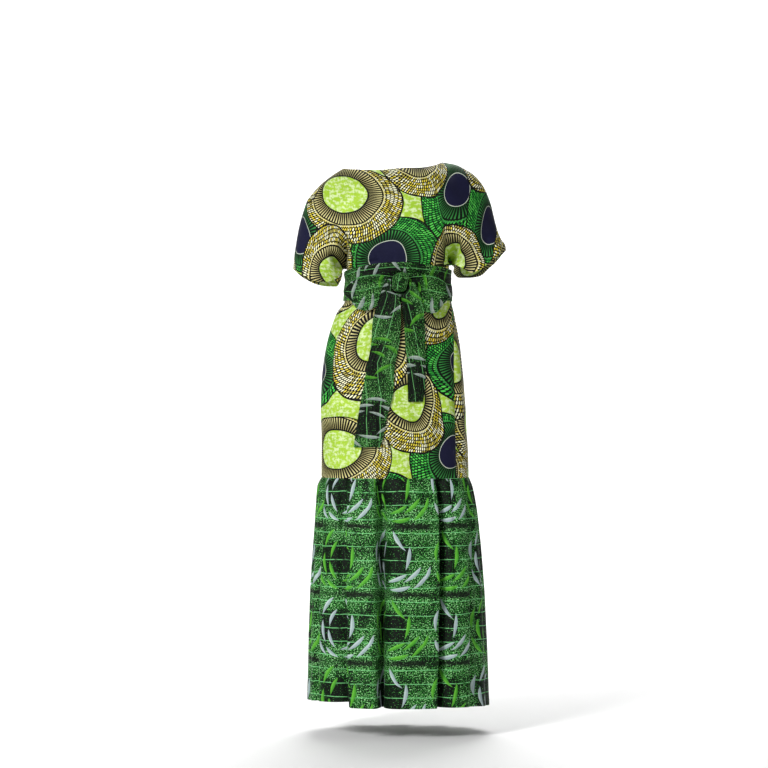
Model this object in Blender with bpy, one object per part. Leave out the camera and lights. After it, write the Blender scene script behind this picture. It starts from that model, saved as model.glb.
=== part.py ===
"""Full-length wax-print dress with batwing short sleeves, a pleated flounce and a tied sash.

Metres. +Z is up, +X is the garment's left as worn, the front faces -Y.
The origin is midway between the shoulders, at shoulder height.
Cloth is built as walls round worn sections: each piece is a grid of points on
its middle surface, moved half a wall out and half a wall in.
"""

import math

import bpy
import numpy as np

WALL = 0.0015  # cloth wall
HALF = WALL / 2
SEAM_GAP = 0.0003  # between two pieces that are sewn together
HALF_GAP = SEAM_GAP / 2
WAIST_Z = -0.285  # waist seam, under the sash
FLOUNCE_Z = -0.798  # seam between skirt and flounce
HEM_Z = -1.378
SECTION_POWER = 2.3  # fullness of the body sections
BAND_OUT = 0.0042  # sash band's middle surface, out from the waist

# Outline of the overarm seams from neck point to sleeve hem: x, z
OVERARM_RIGHT_SIDE = (
    (-0.1430, 0.0026), (-0.1643, -0.0104), (-0.1859, -0.0260), (-0.2033, -0.0408),
    (-0.2226, -0.0624), (-0.2356, -0.0796), (-0.2444, -0.1040), (-0.2527, -0.1313),
    (-0.2592, -0.1586), (-0.2647, -0.1898), (-0.2691, -0.2184), (-0.2722, -0.2575),
)
OVERARM_LEFT_SIDE = (
    (0.1155, 0.0190), (0.1500, 0.0130), (0.1716, 0.0026), (0.1932, -0.0104),
    (0.2110, -0.0278), (0.2235, -0.0460), (0.2345, -0.0700), (0.2428, -0.0946),
    (0.2493, -0.1222), (0.2579, -0.1550), (0.2686, -0.1810), (0.2790, -0.1960),
    (0.2805, -0.2085),
)

# Neckline: across, x, z
NECKLINE = (
    (-1.00, -0.1430, 0.0026), (-0.75, -0.1100, -0.0035), (-0.45, -0.0700, -0.0058),
    (0.00, -0.0100, -0.0015), (0.50, 0.0600, 0.0008), (0.80, 0.0960, 0.0085), (1.00, 0.1155, 0.0190),
)

# Lower edge of the bodice: across, x, z. 0.5 is the side-waist point.
LOWER_EDGE_FRONT = (
    (-1.00, -0.2722, -0.2575), (-0.90, -0.2506, -0.2730), (-0.80, -0.2184, -0.2895),
    (-0.70, -0.1886, -0.2936), (-0.60, -0.1600, -0.2850), (-0.54, -0.1450, -0.2660),
    (-0.50, -0.1345, -0.2580), (-0.45, -0.1260, -0.2800), (-0.40, -0.1130, -0.2850),
    (0.00, 0.0000, -0.2850), (0.40, 0.1130, -0.2850), (0.45, 0.1260, -0.2780),
    (0.50, 0.1345, -0.2480), (0.54, 0.1450, -0.2470), (0.60, 0.1630, -0.2560),
    (0.70, 0.1890, -0.2694), (0.80, 0.2127, -0.2608), (0.90, 0.2450, -0.2345),
    (1.00, 0.2805, -0.2085),
)
LOWER_EDGE_BACK = (
    (-1.00, -0.2722, -0.2575), (-0.90, -0.2506, -0.2760), (-0.80, -0.2184, -0.2930),
    (-0.70, -0.1886, -0.3000), (-0.60, -0.1620, -0.3010), (-0.55, -0.1500, -0.2860),
    (-0.52, -0.1432, -0.2610), (-0.50, -0.1345, -0.2580), (-0.45, -0.1260, -0.2800),
    (-0.40, -0.1130, -0.2850), (0.00, 0.0000, -0.2850), (0.40, 0.1130, -0.2850),
    (0.45, 0.1260, -0.2780), (0.50, 0.1345, -0.2480), (0.52, 0.1432, -0.2540),
    (0.55, 0.1500, -0.2700), (0.60, 0.1610, -0.2780), (0.70, 0.1870, -0.2775),
    (0.80, 0.2127, -0.2740), (0.90, 0.2450, -0.2480), (1.00, 0.2805, -0.2085),
)

# Bodice depth at the middle: down, front, back
BODICE_DEPTH = (
    (0.00, 0.0750, 0.0620), (0.15, 0.0980, 0.0860), (0.30, 0.1150, 0.0990),
    (0.50, 0.1240, 0.1040), (0.65, 0.1210, 0.1020), (0.78, 0.1090, 0.0960),
    (0.86, 0.0985, 0.0915), (1.00, 0.0970, 0.0915),
)
SLEEVE_DEPTH_FRONT = 0.070
SLEEVE_DEPTH_BACK = 0.078

# Bodice creases: across, down at the top, across, down at the foot, half-width, depth
BODICE_CREASES = (
    (-0.66, 0.72, -0.53, 0.97, 0.035, 0.0060),
    (0.60, 0.70, 0.53, 0.97, 0.035, 0.0070),
    (-0.22, 0.62, -0.34, 1.00, 0.030, 0.0030),
    (0.24, 0.66, 0.33, 1.00, 0.030, 0.0030),
)

# Body section: z, x of the right-hand side, x of the left-hand side, front, back
SKIRT_SECTIONS = (
    (-0.240, -0.1345, 0.1345, 0.0975, 0.0920), (-0.285, -0.1345, 0.1345, 0.0975, 0.0920),
    (-0.343, -0.1390, 0.1385, 0.1010, 0.1000), (-0.372, -0.1580, 0.1455, 0.1050, 0.1090),
    (-0.426, -0.1780, 0.1560, 0.1120, 0.1240), (-0.491, -0.1920, 0.1650, 0.1180, 0.1360),
    (-0.546, -0.1980, 0.1710, 0.1210, 0.1400), (-0.624, -0.2005, 0.1765, 0.1240, 0.1400),
    (-0.702, -0.1985, 0.1800, 0.1270, 0.1370), (-0.798, -0.1990, 0.1840, 0.1320, 0.1350),
)

# Skirt folds: angle from the front middle, half-width, depth, z of the top, z of the foot
SKIRT_FOLDS = (
    (57.0, 4.0, -0.0036, -0.350, -0.830),
    (69.0, 6.0, 0.0026, -0.360, -0.830),
    (-63.0, 6.0, -0.0040, -0.380, -0.700),
    (-12.0, 7.0, -0.0020, -0.560, -0.830),
    (232.0, 6.0, -0.0060, -0.360, -0.830),
    (198.0, 7.0, -0.0030, -0.420, -0.780),
    (156.0, 7.0, -0.0040, -0.380, -0.830),
    (120.0, 6.0, -0.0050, -0.360, -0.760),
)

# Skirt side seam on the wearer's left, which hangs forward: z, angle from the front middle
SKIRT_SEAM = (
    (-0.240, 88.0), (-0.345, 80.0), (-0.393, 68.5), (-0.452, 63.3),
    (-0.512, 59.7), (-0.620, 56.5), (-0.700, 55.4), (-0.798, 54.1),
)

# Flounce: z, x of the right-hand side, x of the left-hand side, front, back
FLOUNCE_SECTIONS = (
    (-0.798, -0.1990, 0.1840, 0.1320, 0.1350), (-0.822, -0.2095, 0.1935, 0.1400, 0.1430),
    (-0.870, -0.2135, 0.2030, 0.1500, 0.1530), (-0.923, -0.2170, 0.2100, 0.1580, 0.1610),
    (-1.035, -0.2250, 0.2205, 0.1710, 0.1740), (-1.115, -0.2290, 0.2260, 0.1790, 0.1820),
    (-1.250, -0.2330, 0.2320, 0.1900, 0.1930), (-1.378, -0.2355, 0.2365, 0.1980, 0.2010),
)

# Flounce pleat valleys: side, angle from that side's middle, shift at the hem, half-width,
# depth at the hem, overlap, lean. A leaning pleat is steep on its +X side (plus) or -X side (minus).
PLEATS = (
    ("front", -66.0, 3.0, 3.4, 0.0100, 0.4, 0.0), ("front", -40.2, 7.0, 6.2, 0.0200, 0.3, 0.8),
    ("front", -8.2, -1.2, 5.6, 0.0500, 0.5, -0.7), ("front", 33.6, -9.2, 5.0, 0.0500, 0.5, -0.9),
    ("front", 62.0, -10.5, 3.6, 0.0140, 0.5, -0.3), ("back", -64.0, 3.0, 4.0, 0.0160, 0.5, 0.3),
    ("back", -38.0, 2.0, 5.4, 0.0440, 0.6, 0.7), ("back", -11.0, 1.0, 4.4, 0.0220, 0.5, -0.5),
    ("back", 15.0, -2.0, 5.6, 0.0470, 0.5, -0.8), ("back", 42.0, -3.0, 5.2, 0.0330, 0.6, 0.6),
    ("back", 66.0, -3.0, 4.0, 0.0150, 0.5, -0.3),
)
PLEAT_GROWTH = ((-0.798, 0.20), (-0.812, 0.42), (-0.860, 0.70), (-0.960, 0.86), (-1.378, 1.10))

# Flounce hem: angle from that side's middle before the shift, z
HEM_FRONT = (
    (-90, -1.3740), (-62, -1.3680), (-38, -1.3650), (-31, -1.3780),
    (0, -1.3785), (40, -1.3780), (66, -1.3810), (90, -1.3880),
)
HEM_BACK = ((-90, -1.3740), (-50, -1.3750), (0, -1.3790), (40, -1.3820), (90, -1.3880))

# Sash band edges: angle from the front middle, z of the top, z of the foot
BAND_EDGES = (
    (-180, -0.2500, -0.3360), (-135, -0.2560, -0.3380), (-90, -0.2655, -0.3405),
    (-45, -0.2560, -0.3400), (0, -0.2440, -0.3380), (45, -0.2540, -0.3410),
    (90, -0.2620, -0.3415), (135, -0.2560, -0.3390), (180, -0.2500, -0.3360),
)

# Bow loops: along, z of the upper edge, z of the lower edge
LOOP_EDGES_RIGHT_SIDE = (
    (0.00, -0.2810, -0.3190), (0.15, -0.2790, -0.3400), (0.40, -0.2770, -0.3590),
    (0.65, -0.2790, -0.3680), (0.85, -0.2860, -0.3640), (1.00, -0.3000, -0.3440),
)
LOOP_EDGES_LEFT_SIDE = (
    (0.00, -0.2840, -0.3200), (0.15, -0.2790, -0.3450), (0.40, -0.2775, -0.3640),
    (0.65, -0.2810, -0.3760), (0.85, -0.2900, -0.3720), (1.00, -0.3060, -0.3500),
)
# Loop ends: across, x of the outer end
LOOP_END_RIGHT_SIDE = ((0.0, -0.1270), (0.5, -0.1385), (1.0, -0.1200))
LOOP_END_LEFT_SIDE = ((0.0, 0.1290), (0.5, 0.1370), (1.0, 0.1130))
LOOP_START_RIGHT_SIDE = -0.0172
LOOP_START_LEFT_SIDE = 0.0272
LOOP_BASE_OUT = 0.0066
LOOP_THICK_KNOT = 0.0030
LOOP_THICK_GAIN = 0.0085

# Sash tails: z, x of the right-hand edge, x of the left-hand edge, out from the skirt
TAIL_RIGHT_SIDE = (
    (-0.2880, -0.0330, -0.0190, 0.0235), (-0.3050, -0.0390, -0.0184, 0.0240),
    (-0.3180, -0.0420, -0.0175, 0.0240), (-0.3240, -0.0445, -0.0080, 0.0240),
    (-0.3310, -0.0465, 0.0020, 0.0240), (-0.3600, -0.0560, 0.0060, 0.0240),
    (-0.3780, -0.0610, 0.0065, 0.0200), (-0.4000, -0.0660, 0.0060, 0.0130),
    (-0.4500, -0.0690, 0.0030, 0.0072), (-0.5120, -0.0800, -0.0080, 0.0056),
    (-0.5850, -0.0930, -0.0140, 0.0050), (-0.6300, -0.1010, -0.0260, 0.0050),
    (-0.6900, -0.1100, -0.0380, 0.0050), (-0.7180, -0.1140, -0.0460, 0.0050),
)
TAIL_LEFT_SIDE = (
    (-0.2960, 0.0287, 0.0420, 0.0240), (-0.3120, 0.0270, 0.0480, 0.0245),
    (-0.3220, 0.0190, 0.0540, 0.0245), (-0.3310, 0.0085, 0.0580, 0.0240),
    (-0.3600, 0.0104, 0.0640, 0.0245), (-0.3780, 0.0125, 0.0655, 0.0200),
    (-0.4000, 0.0150, 0.0670, 0.0130),
    (-0.4400, 0.0170, 0.0690, 0.0078), (-0.5100, 0.0224, 0.0702, 0.0054),
    (-0.5700, 0.0245, 0.0680, 0.0050), (-0.6020, 0.0256, 0.0630, 0.0050),
)

KNOT_CENTRE = (0.0050, -0.2960)
KNOT_HALF_WIDTH = 0.0235
KNOT_HALF_HEIGHT = 0.0240
KNOT_HALF_DEPTH = 0.0160
KNOT_OUT = 0.0225  # of its centre, from the waist

COLOURS = {
    "bodice": (0.36, 0.46, 0.12),
    "skirt": (0.34, 0.44, 0.12),
    "flounce": (0.05, 0.20, 0.06),
    "sash": (0.06, 0.24, 0.08),
}


def curve(rows, at, key=0, value=1):
    """Smooth curve through a table's rows, read at the places given."""
    xs = np.array([r[key] for r in rows], float)
    ys = np.array([r[value] for r in rows], float)
    if xs[0] > xs[-1]:
        xs = xs[::-1]
        ys = ys[::-1]
    steps = np.diff(xs)
    slopes = np.diff(ys) / steps
    tangents = np.empty_like(ys)
    tangents[0] = slopes[0]
    tangents[-1] = slopes[-1]
    same_way = slopes[1:] * slopes[:-1] > 0
    whole = np.where(same_way, slopes[1:] + slopes[:-1], 1.0)
    tangents[1:-1] = np.where(same_way, 2 * slopes[1:] * slopes[:-1] / whole, 0.0)
    at = np.clip(np.asarray(at, float), xs[0], xs[-1])
    i = np.clip(np.searchsorted(xs, at, side="right") - 1, 0, len(xs) - 2)
    t = (at - xs[i]) / steps[i]
    t2 = t * t
    t3 = t2 * t
    start = (2 * t3 - 3 * t2 + 1) * ys[i] + (t3 - 2 * t2 + t) * steps[i] * tangents[i]
    end = (3 * t2 - 2 * t3) * ys[i + 1] + (t3 - t2) * steps[i] * tangents[i + 1]
    return start + end


def smooth_step(t):
    t = np.clip(t, 0.0, 1.0)
    return t * t * (3 - 2 * t)


def along_outline(points, v):
    """Points of an outline at shares v of its length."""
    p = np.array(points, float)
    length = np.concatenate([[0.0], np.cumsum(np.hypot(*np.diff(p, axis=0).T))])
    rows = np.column_stack([length / length[-1], p])
    return curve(rows, v, 0, 1), curve(rows, v, 0, 2)


def held_depth(side, x, z):
    """Depth of the waist, which the sash holds the bodice to."""
    right = curve(SKIRT_SECTIONS, z, 0, 1)
    left = curve(SKIRT_SECTIONS, z, 0, 2)
    depth = curve(SKIRT_SECTIONS, z, 0, 3 if side == "front" else 4)
    t = np.clip(np.abs(x - (left + right) / 2) / ((left - right) / 2), 0, 1)
    return depth * (1 - t**SECTION_POWER) ** (1 / SECTION_POWER)


def bodice_points(side, u, v):
    """Middle surface of one bodice panel. u runs across it, v from neckline to lower edge."""
    front = side == "front"
    edge = LOWER_EDGE_FRONT if front else LOWER_EDGE_BACK
    share = (u + 1) / 2
    corners = ((NECKLINE[0], NECKLINE[-1]), (edge[0], edge[-1]))
    right = along_outline(OVERARM_RIGHT_SIDE, v)
    left = along_outline(OVERARM_LEFT_SIDE, v)
    place = []
    for k in (0, 1):
        across = (1 - v) * curve(NECKLINE, u, 0, k + 1) + v * curve(edge, u, 0, k + 1)
        down = (1 - share) * right[k] + share * left[k]
        top = (1 - share) * corners[0][0][k + 1] + share * corners[0][1][k + 1]
        foot = (1 - share) * corners[1][0][k + 1] + share * corners[1][1][k + 1]
        place.append(across + down - (1 - v) * top - v * foot)
    x, z = place
    depth = curve(BODICE_DEPTH, v, 0, 1 if front else 2)
    sleeve = SLEEVE_DEPTH_FRONT if front else SLEEVE_DEPTH_BACK
    whole = depth * np.clip(1 - np.abs(u) ** 2.2, 0, None) ** 0.5
    torso_place = np.clip(np.abs(u) / 0.5, 0, 1)
    torso = depth * np.clip(1 - torso_place**SECTION_POWER, 0, None) ** (1 / SECTION_POWER)
    sleeve_place = np.clip(np.abs(np.abs(u) - 0.75) / 0.25, 0, 1)
    arm = sleeve * np.clip(1 - sleeve_place**2.2, 0, None) ** 0.6
    lobes = np.where(np.abs(u) <= 0.5, torso, arm)
    sunk = smooth_step((v - 0.64) / 0.36) ** 1.4
    between = depth * (1 - 0.5**2.2) ** 0.5 * np.exp(-(((np.abs(u) - 0.5) / 0.11) ** 2))
    parted = smooth_step((v - 0.81) / 0.19)
    out = (1 - parted) * (whole - sunk * between) + parted * lobes
    for u0, v0, u1, v1, width, deep in BODICE_CREASES:
        du, dv = u1 - u0, v1 - v0
        t = np.clip(((u - u0) * du + (v - v0) * dv) / (du * du + dv * dv), 0, 1)
        away = np.hypot(u - u0 - t * du, (v - v0 - t * dv) * 0.8)
        ease = smooth_step(t / 0.4) * smooth_step((1 - v) / 0.10)
        out = out - deep * ease * np.exp(-((away / width) ** 2))
    held = held_depth(side, x, z)
    under_sash = smooth_step((-0.230 - z) / 0.014) * (np.abs(u) <= 0.5)
    out = (1 - under_sash) * out + under_sash * np.minimum(out, held)
    clear = HALF_GAP + HALF * 1.45 * (1 - np.abs(u) ** 8)
    y = np.maximum(out, 0) + clear
    return np.stack([x, -y if front else y, z], -1)


def lobe_columns(start, end, count):
    t = np.arange(count + 1) / count
    return start + (end - start) * (1 - np.cos(math.pi * t)) / 2


def section(rows, angle, z, out=0.0):
    """Points of a body section. The angle is in degrees from the front middle, +90 at +X."""
    a = np.radians(angle)
    right = curve(rows, z, 0, 1)
    left = curve(rows, z, 0, 2)
    depth = np.where(np.cos(a) >= 0, curve(rows, z, 0, 3), curve(rows, z, 0, 4))
    power = 2 / SECTION_POWER
    s, c = np.sin(a), np.cos(a)
    half = (left - right) / 2 + out
    x = (left + right) / 2 + half * np.sign(s) * np.abs(s) ** power
    y = -(depth + out) * np.sign(c) * np.abs(c) ** power
    return np.stack([x, y, z + 0 * a], -1)


def skirt_surface(angle, z):
    """Middle surface of the skirt. The angle is from the front middle, -90 to 270."""
    out = 0 * z + 0 * angle
    for centre, width, deep, top, foot in SKIRT_FOLDS:
        ease = smooth_step((top - z) / 0.10) * smooth_step((z - foot) / 0.06)
        out = out + deep * ease * np.exp(-(((angle - centre) / width) ** 2))
    return section(SKIRT_SECTIONS, angle, z, out)


def skirt_points(side, share, z):
    """One skirt panel. share runs across it from seam to seam, growing the way the angle does."""
    seam = curve(SKIRT_SEAM, z)
    degree = np.linalg.norm(skirt_surface(seam + 0.5, z) - skirt_surface(seam - 0.5, z), axis=-1)
    gap = HALF_GAP / degree
    if side == "front":
        angle = -90 + (seam - gap + 90) * share
        p = skirt_surface(angle, z)
        p[..., 1] -= HALF_GAP * smooth_step((angle + 45) / -45)
        return p
    angle = seam + gap + (270 - seam - gap) * share
    p = skirt_surface(angle, z)
    p[..., 1] += HALF_GAP * smooth_step((angle - 225) / 45)
    return p


def skirt_seam_normals(z):
    """Outward directions along the seam, shared by the two panels it joins."""
    seam = curve(SKIRT_SEAM, z)
    across = skirt_surface(seam + 0.5, z) - skirt_surface(seam - 0.5, z)
    down = skirt_surface(seam, z - 0.004) - skirt_surface(seam, z + 0.004)
    n = np.cross(down, across)
    return n / np.linalg.norm(n, axis=-1, keepdims=True)


def pleat_shift(side, angle):
    """How far the pleats hang to one side at the hem."""
    rows = [(-90.0, 0.0)] + [(r[1], r[2]) for r in PLEATS if r[0] == side] + [(90.0, 0.0)]
    return curve(rows, angle)


def flounce_z(side, angle, share):
    """Height on the flounce at a share of the way from its seam to its hem."""
    top = FLOUNCE_Z - SEAM_GAP
    hem = curve(HEM_FRONT if side == "front" else HEM_BACK, angle)
    return top + (hem - top) * share


def flounce_points(side, angle, z):
    growth = curve(PLEAT_GROWTH, z)
    out = 0 * z + 0 * angle
    turn = 0 * z + 0 * angle
    for where, centre, _shift, width, deep, overlap, lean in PLEATS:
        if where == side:
            t = (angle - centre) / width
            steep = 2.6 * (1 + np.sign(t) * lean) if lean else 2.6
            out = out - deep * growth * np.exp(-np.abs(t) ** np.maximum(steep, 1.7))
            turn = turn - overlap * width * growth * t * np.exp(-(t**2) * 0.9)
            edge = np.sign(lean) * 1.15
            turn = turn - 0.35 * lean * width * growth * np.exp(-(((t - edge) / 0.35) ** 2))
    ease = smooth_step((90 - np.abs(angle)) / 14)
    hang = np.clip((FLOUNCE_Z - z) / (FLOUNCE_Z - HEM_Z), 0, 1)
    turned = angle + turn * ease + pleat_shift(side, angle) * hang
    if side == "back":
        p = section(FLOUNCE_SECTIONS, 180 - turned, z, out * ease)
        p[..., 1] += HALF_GAP
    else:
        p = section(FLOUNCE_SECTIONS, turned, z, out * ease)
        p[..., 1] -= HALF_GAP
    return p


def pleat_columns(side, count):
    """Angles for the flounce, closer together where it is pleated."""
    fine = np.linspace(-90, 90, 2001)
    density = np.ones_like(fine)
    for where, centre, _shift, width, _deep, _overlap, _lean in PLEATS:
        if where == side:
            density += 2.6 * np.exp(-(((fine - centre) / (1.7 * width)) ** 2))
    total = np.concatenate([[0.0], np.cumsum((density[1:] + density[:-1]) / 2)])
    return np.interp(np.linspace(0, total[-1], count + 1), total, fine)


def front_y(x, z, out):
    """y of the front of the body, moved out."""
    right = curve(SKIRT_SECTIONS, z, 0, 1)
    left = curve(SKIRT_SECTIONS, z, 0, 2)
    depth = curve(SKIRT_SECTIONS, z, 0, 3)
    t = np.clip(np.abs(x - (left + right) / 2) / ((left - right) / 2), 0, 1)
    return -depth * (1 - t**SECTION_POWER) ** (1 / SECTION_POWER) - out


def band_points(angle, share):
    top = curve(BAND_EDGES, angle, 0, 1)
    foot = curve(BAND_EDGES, angle, 0, 2)
    z = top + (foot - top) * share
    folds = 0.0010 * np.cos(share * 3 * math.pi + 0.5 * np.sin(np.radians(angle * 2)))
    return section(SKIRT_SECTIONS, angle, z, BAND_OUT + folds)


def loop_points(side, s, t):
    """s runs from the knot out along the under layer and back over it, t from upper to lower edge."""
    right = side == "right"
    edges = LOOP_EDGES_RIGHT_SIDE if right else LOOP_EDGES_LEFT_SIDE
    ends = LOOP_END_RIGHT_SIDE if right else LOOP_END_LEFT_SIDE
    start = LOOP_START_RIGHT_SIDE if right else LOOP_START_LEFT_SIDE
    along = np.sin(math.pi * s)
    x = start + (curve(ends, t) - start) * along
    top = curve(edges, along, 0, 1)
    foot = curve(edges, along, 0, 2)
    z = top + (foot - top) * t
    lift = (LOOP_THICK_KNOT + LOOP_THICK_GAIN * along) * (1 - np.cos(math.pi * s))
    pinch = 0.0016 * (1 - along) * np.cos(3 * math.pi * t) * smooth_step((s - 0.5) * 4)
    y = front_y(0.84 * x, z, LOOP_BASE_OUT + lift + pinch)
    return np.stack([x, y, z], -1)


def tail_points(rows, share, t):
    """share runs down the tail, t across it."""
    z = rows[0][0] + (rows[-1][0] - rows[0][0]) * share
    right = curve(rows, z, 0, 1)
    left = curve(rows, z, 0, 2)
    out = curve(rows, z, 0, 3)
    x = right + (left - right) * t
    fold = 0.0016 * np.cos(2.5 * math.pi * t + 2 * share) * smooth_step(share * 4)
    return np.stack([x, front_y(x, z, out + 0.0016 + fold), z], -1)


def grid_normals(p, around):
    """Unit normals of a grid of points, and how far the wall is mitred at each."""
    q = np.concatenate([p[:, -2:-1], p, p[:, 1:2]], 1) if around else p
    a = q[1:, :-1] - q[:-1, :-1]
    b = q[1:, 1:] - q[:-1, 1:]
    c = q[:-1, 1:] - q[:-1, :-1]
    d = q[1:, 1:] - q[1:, :-1]
    faces = np.cross(a + b, c + d)
    faces /= np.maximum(np.linalg.norm(faces, axis=-1, keepdims=True), 1e-12)
    rows, cols = q.shape[0], q.shape[1]
    total = np.zeros((rows, cols, 3))
    count = np.zeros((rows, cols, 1))
    for i in (0, 1):
        for j in (0, 1):
            total[i : rows - 1 + i, j : cols - 1 + j] += faces
            count[i : rows - 1 + i, j : cols - 1 + j] += 1
    mean = total / count
    size = np.linalg.norm(mean, axis=-1, keepdims=True)
    n = mean / np.maximum(size, 1e-9)
    mitre = 1 / np.clip(size, 0.72, 1.0)
    if around:
        n = n[:, 1:-1]
        mitre = mitre[:, 1:-1]
    return n, mitre


def material(name, colour):
    m = bpy.data.materials.new(name)
    m.use_nodes = True
    shader = m.node_tree.nodes["Principled BSDF"]
    shader.inputs["Base Color"].default_value = (*colour, 1.0)
    shader.inputs["Roughness"].default_value = 0.85
    m.diffuse_color = (*colour, 1.0)
    return m


def add_object(name, points, faces, colour):
    mesh = bpy.data.meshes.new(name)
    mesh.from_pydata([tuple(p) for p in points], [], faces)
    mesh.validate()
    mesh.update()
    mesh.materials.append(material(name + "_cloth", colour))
    thing = bpy.data.objects.new(name, mesh)
    bpy.context.scene.collection.objects.link(thing)
    return thing


def cloth_wall(name, p, colour, outward, around=False, upright=(), level=(), shared=None):
    """Closed wall round a grid of middle points. outward is a test direction at each point.

    upright names edges whose rims lie in a plane facing Y, level those whose rims face Z.
    shared gives an edge the outward directions that the piece beside it has too.
    """
    n, mitre = grid_normals(p, around)
    facing = np.sum(n * outward, axis=-1).mean()
    if facing < 0:
        n = -n
    ends = {"first_row": (0, slice(None)), "last_row": (-1, slice(None))}
    ends.update({"first_col": (slice(None), 0), "last_col": (slice(None), -1)})
    for which, directions in (shared or {}).items():
        n[ends[which]] = directions
    for which in upright:
        n[ends[which]][..., 1] = 0
    for which in level:
        n[ends[which]][..., 2] = 0
    n /= np.linalg.norm(n, axis=-1, keepdims=True)
    step = n * HALF * mitre
    rows, cols = p.shape[0], p.shape[1]
    if around:
        cols -= 1
    outer = (p + step)[:, :cols].reshape(-1, 3)
    inner = (p - step)[:, :cols].reshape(-1, 3)
    base = rows * cols
    faces = []

    def index(i, j, layer):
        return layer * base + i * cols + (j % cols)

    last = cols if around else cols - 1
    flip = facing < 0
    for i in range(rows - 1):
        for j in range(last):
            a, b = index(i, j, 0), index(i + 1, j, 0)
            c, d = index(i + 1, j + 1, 0), index(i, j + 1, 0)
            quad = (a, b, c, d)
            back = (a + base, d + base, c + base, b + base)
            faces.append(quad[::-1] if flip else quad)
            faces.append(back[::-1] if flip else back)
    for j in range(last):
        for i, way in ((0, False), (rows - 1, True)):
            a, b = index(i, j, 0), index(i, j + 1, 0)
            quad = (a, b, b + base, a + base)
            faces.append(quad[::-1] if way != flip else quad)
    if not around:
        for i in range(rows - 1):
            for j, way in ((0, True), (cols - 1, False)):
                a, b = index(i, j, 0), index(i + 1, j, 0)
                quad = (a, b, b + base, a + base)
                faces.append(quad[::-1] if way != flip else quad)
    return add_object(name, np.concatenate([outer, inner]), faces, colour)


def from_axis(p):
    """Direction away from the vertical middle axis."""
    d = p.copy()
    d[..., 2] = 0
    return d


def build_bodice():
    u = np.concatenate(
        [lobe_columns(-1, -0.5, 7), lobe_columns(-0.5, 0.5, 14)[1:], lobe_columns(0.5, 1, 7)[1:]]
    )
    v = np.concatenate([np.linspace(0, 0.8, 9), (0.86, 0.91, 0.955, 1.0)])
    uu, vv = np.meshgrid(u, v)
    for side in ("front", "back"):
        p = bodice_points(side, uu, vv)
        edges = ("first_col", "last_col")
        cloth_wall("bodice_" + side, p, COLOURS["bodice"], from_axis(p), upright=edges)


def build_skirt():
    z = np.array((WAIST_Z - SEAM_GAP, -0.315, -0.344, -0.357, -0.372, -0.398, -0.430))
    z = np.concatenate([z, np.linspace(z[-1], FLOUNCE_Z, 8)[1:]])
    seam = skirt_seam_normals(z)
    panels = (("front", 25, "first_col", "last_col"), ("back", 33, "last_col", "first_col"))
    for side, columns, side_edge, seam_edge in panels:
        ss, zz = np.meshgrid(np.linspace(0, 1, columns), z)
        p = skirt_points(side, ss, zz)
        cloth_wall(
            "skirt_" + side, p, COLOURS["skirt"], from_axis(p),
            upright=(side_edge,), level=("first_row", "last_row"), shared={seam_edge: seam},
        )


def build_flounce():
    share = np.array((0, 0.0207, 0.0517, 0.1034, 0.181, 0.2845, 0.414, 0.531, 0.648, 0.766, 0.883, 1.0))
    for side in ("front", "back"):
        aa, ss = np.meshgrid(pleat_columns(side, 66), share)
        p = flounce_points(side, aa, flounce_z(side, aa, ss))
        cloth_wall(
            "flounce_" + side, p, COLOURS["flounce"], from_axis(p),
            upright=("first_col", "last_col"), level=("first_row", "last_row"),
        )


def build_band():
    aa, ss = np.meshgrid(np.linspace(-180, 180, 53), np.linspace(0, 1, 6))
    p = band_points(aa, ss)
    cloth_wall("sash_band", p, COLOURS["sash"], from_axis(p), around=True)


def build_loops():
    for side in ("right", "left"):
        ss, tt = np.meshgrid(np.linspace(0, 1, 23), np.linspace(0, 1, 7))
        p = loop_points(side, ss, tt)
        away = p - p.mean(axis=(0, 1))
        away[..., 0] *= 0.1
        away[..., 2] = 0
        cloth_wall("sash_loop_" + side, p, COLOURS["sash"], away)


def build_tails():
    for side, rows in (("right", TAIL_RIGHT_SIDE), ("left", TAIL_LEFT_SIDE)):
        tt, ss = np.meshgrid(np.linspace(0, 1, 7), np.linspace(0, 1, 23) ** 1.35)
        p = tail_points(rows, ss, tt)
        forward = np.zeros_like(p)
        forward[..., 1] = -1
        cloth_wall("sash_tail_" + side, p, COLOURS["sash"], forward)


def build_knot():
    """Cloth drawn tight: a closed rounded body with wrapping grooves."""
    around, up = 24, 12
    points, faces = [], []
    cx, cz = KNOT_CENTRE
    cy = float(front_y(np.array(cx), np.array(cz), KNOT_OUT))
    for i in range(1, up):
        latitude = math.pi * (i / up - 0.5)
        for j in range(around):
            longitude = 2 * math.pi * j / around
            s, c = math.sin(latitude), math.cos(latitude)
            ring = abs(c) ** 0.75
            groove = 1 - 0.07 * math.cos(5 * longitude + 1.4 * s) * c
            x = KNOT_HALF_WIDTH * ring * math.copysign(abs(math.cos(longitude)) ** 0.8, math.cos(longitude))
            y = KNOT_HALF_DEPTH * ring * math.sin(longitude) * groove
            z = KNOT_HALF_HEIGHT * math.copysign(abs(s) ** 0.85, s)
            points.append((cx + x + 0.10 * z, cy + y, cz + z))
    low, high = len(points), len(points) + 1
    points.append((cx - 0.10 * KNOT_HALF_HEIGHT, cy, cz - KNOT_HALF_HEIGHT))
    points.append((cx + 0.10 * KNOT_HALF_HEIGHT, cy, cz + KNOT_HALF_HEIGHT))
    for j in range(around):
        k = (j + 1) % around
        faces.append((low, k, j))
        last = (up - 2) * around
        faces.append((high, last + j, last + k))
        for i in range(up - 2):
            a, b = i * around + j, i * around + k
            faces.append((a, b, b + around, a + around))
    add_object("sash_knot", points, faces, COLOURS["sash"])


for old in list(bpy.data.objects):
    bpy.data.objects.remove(old, do_unlink=True)

build_bodice()
build_skirt()
build_flounce()
build_band()
build_loops()
build_knot()
build_tails()
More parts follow.
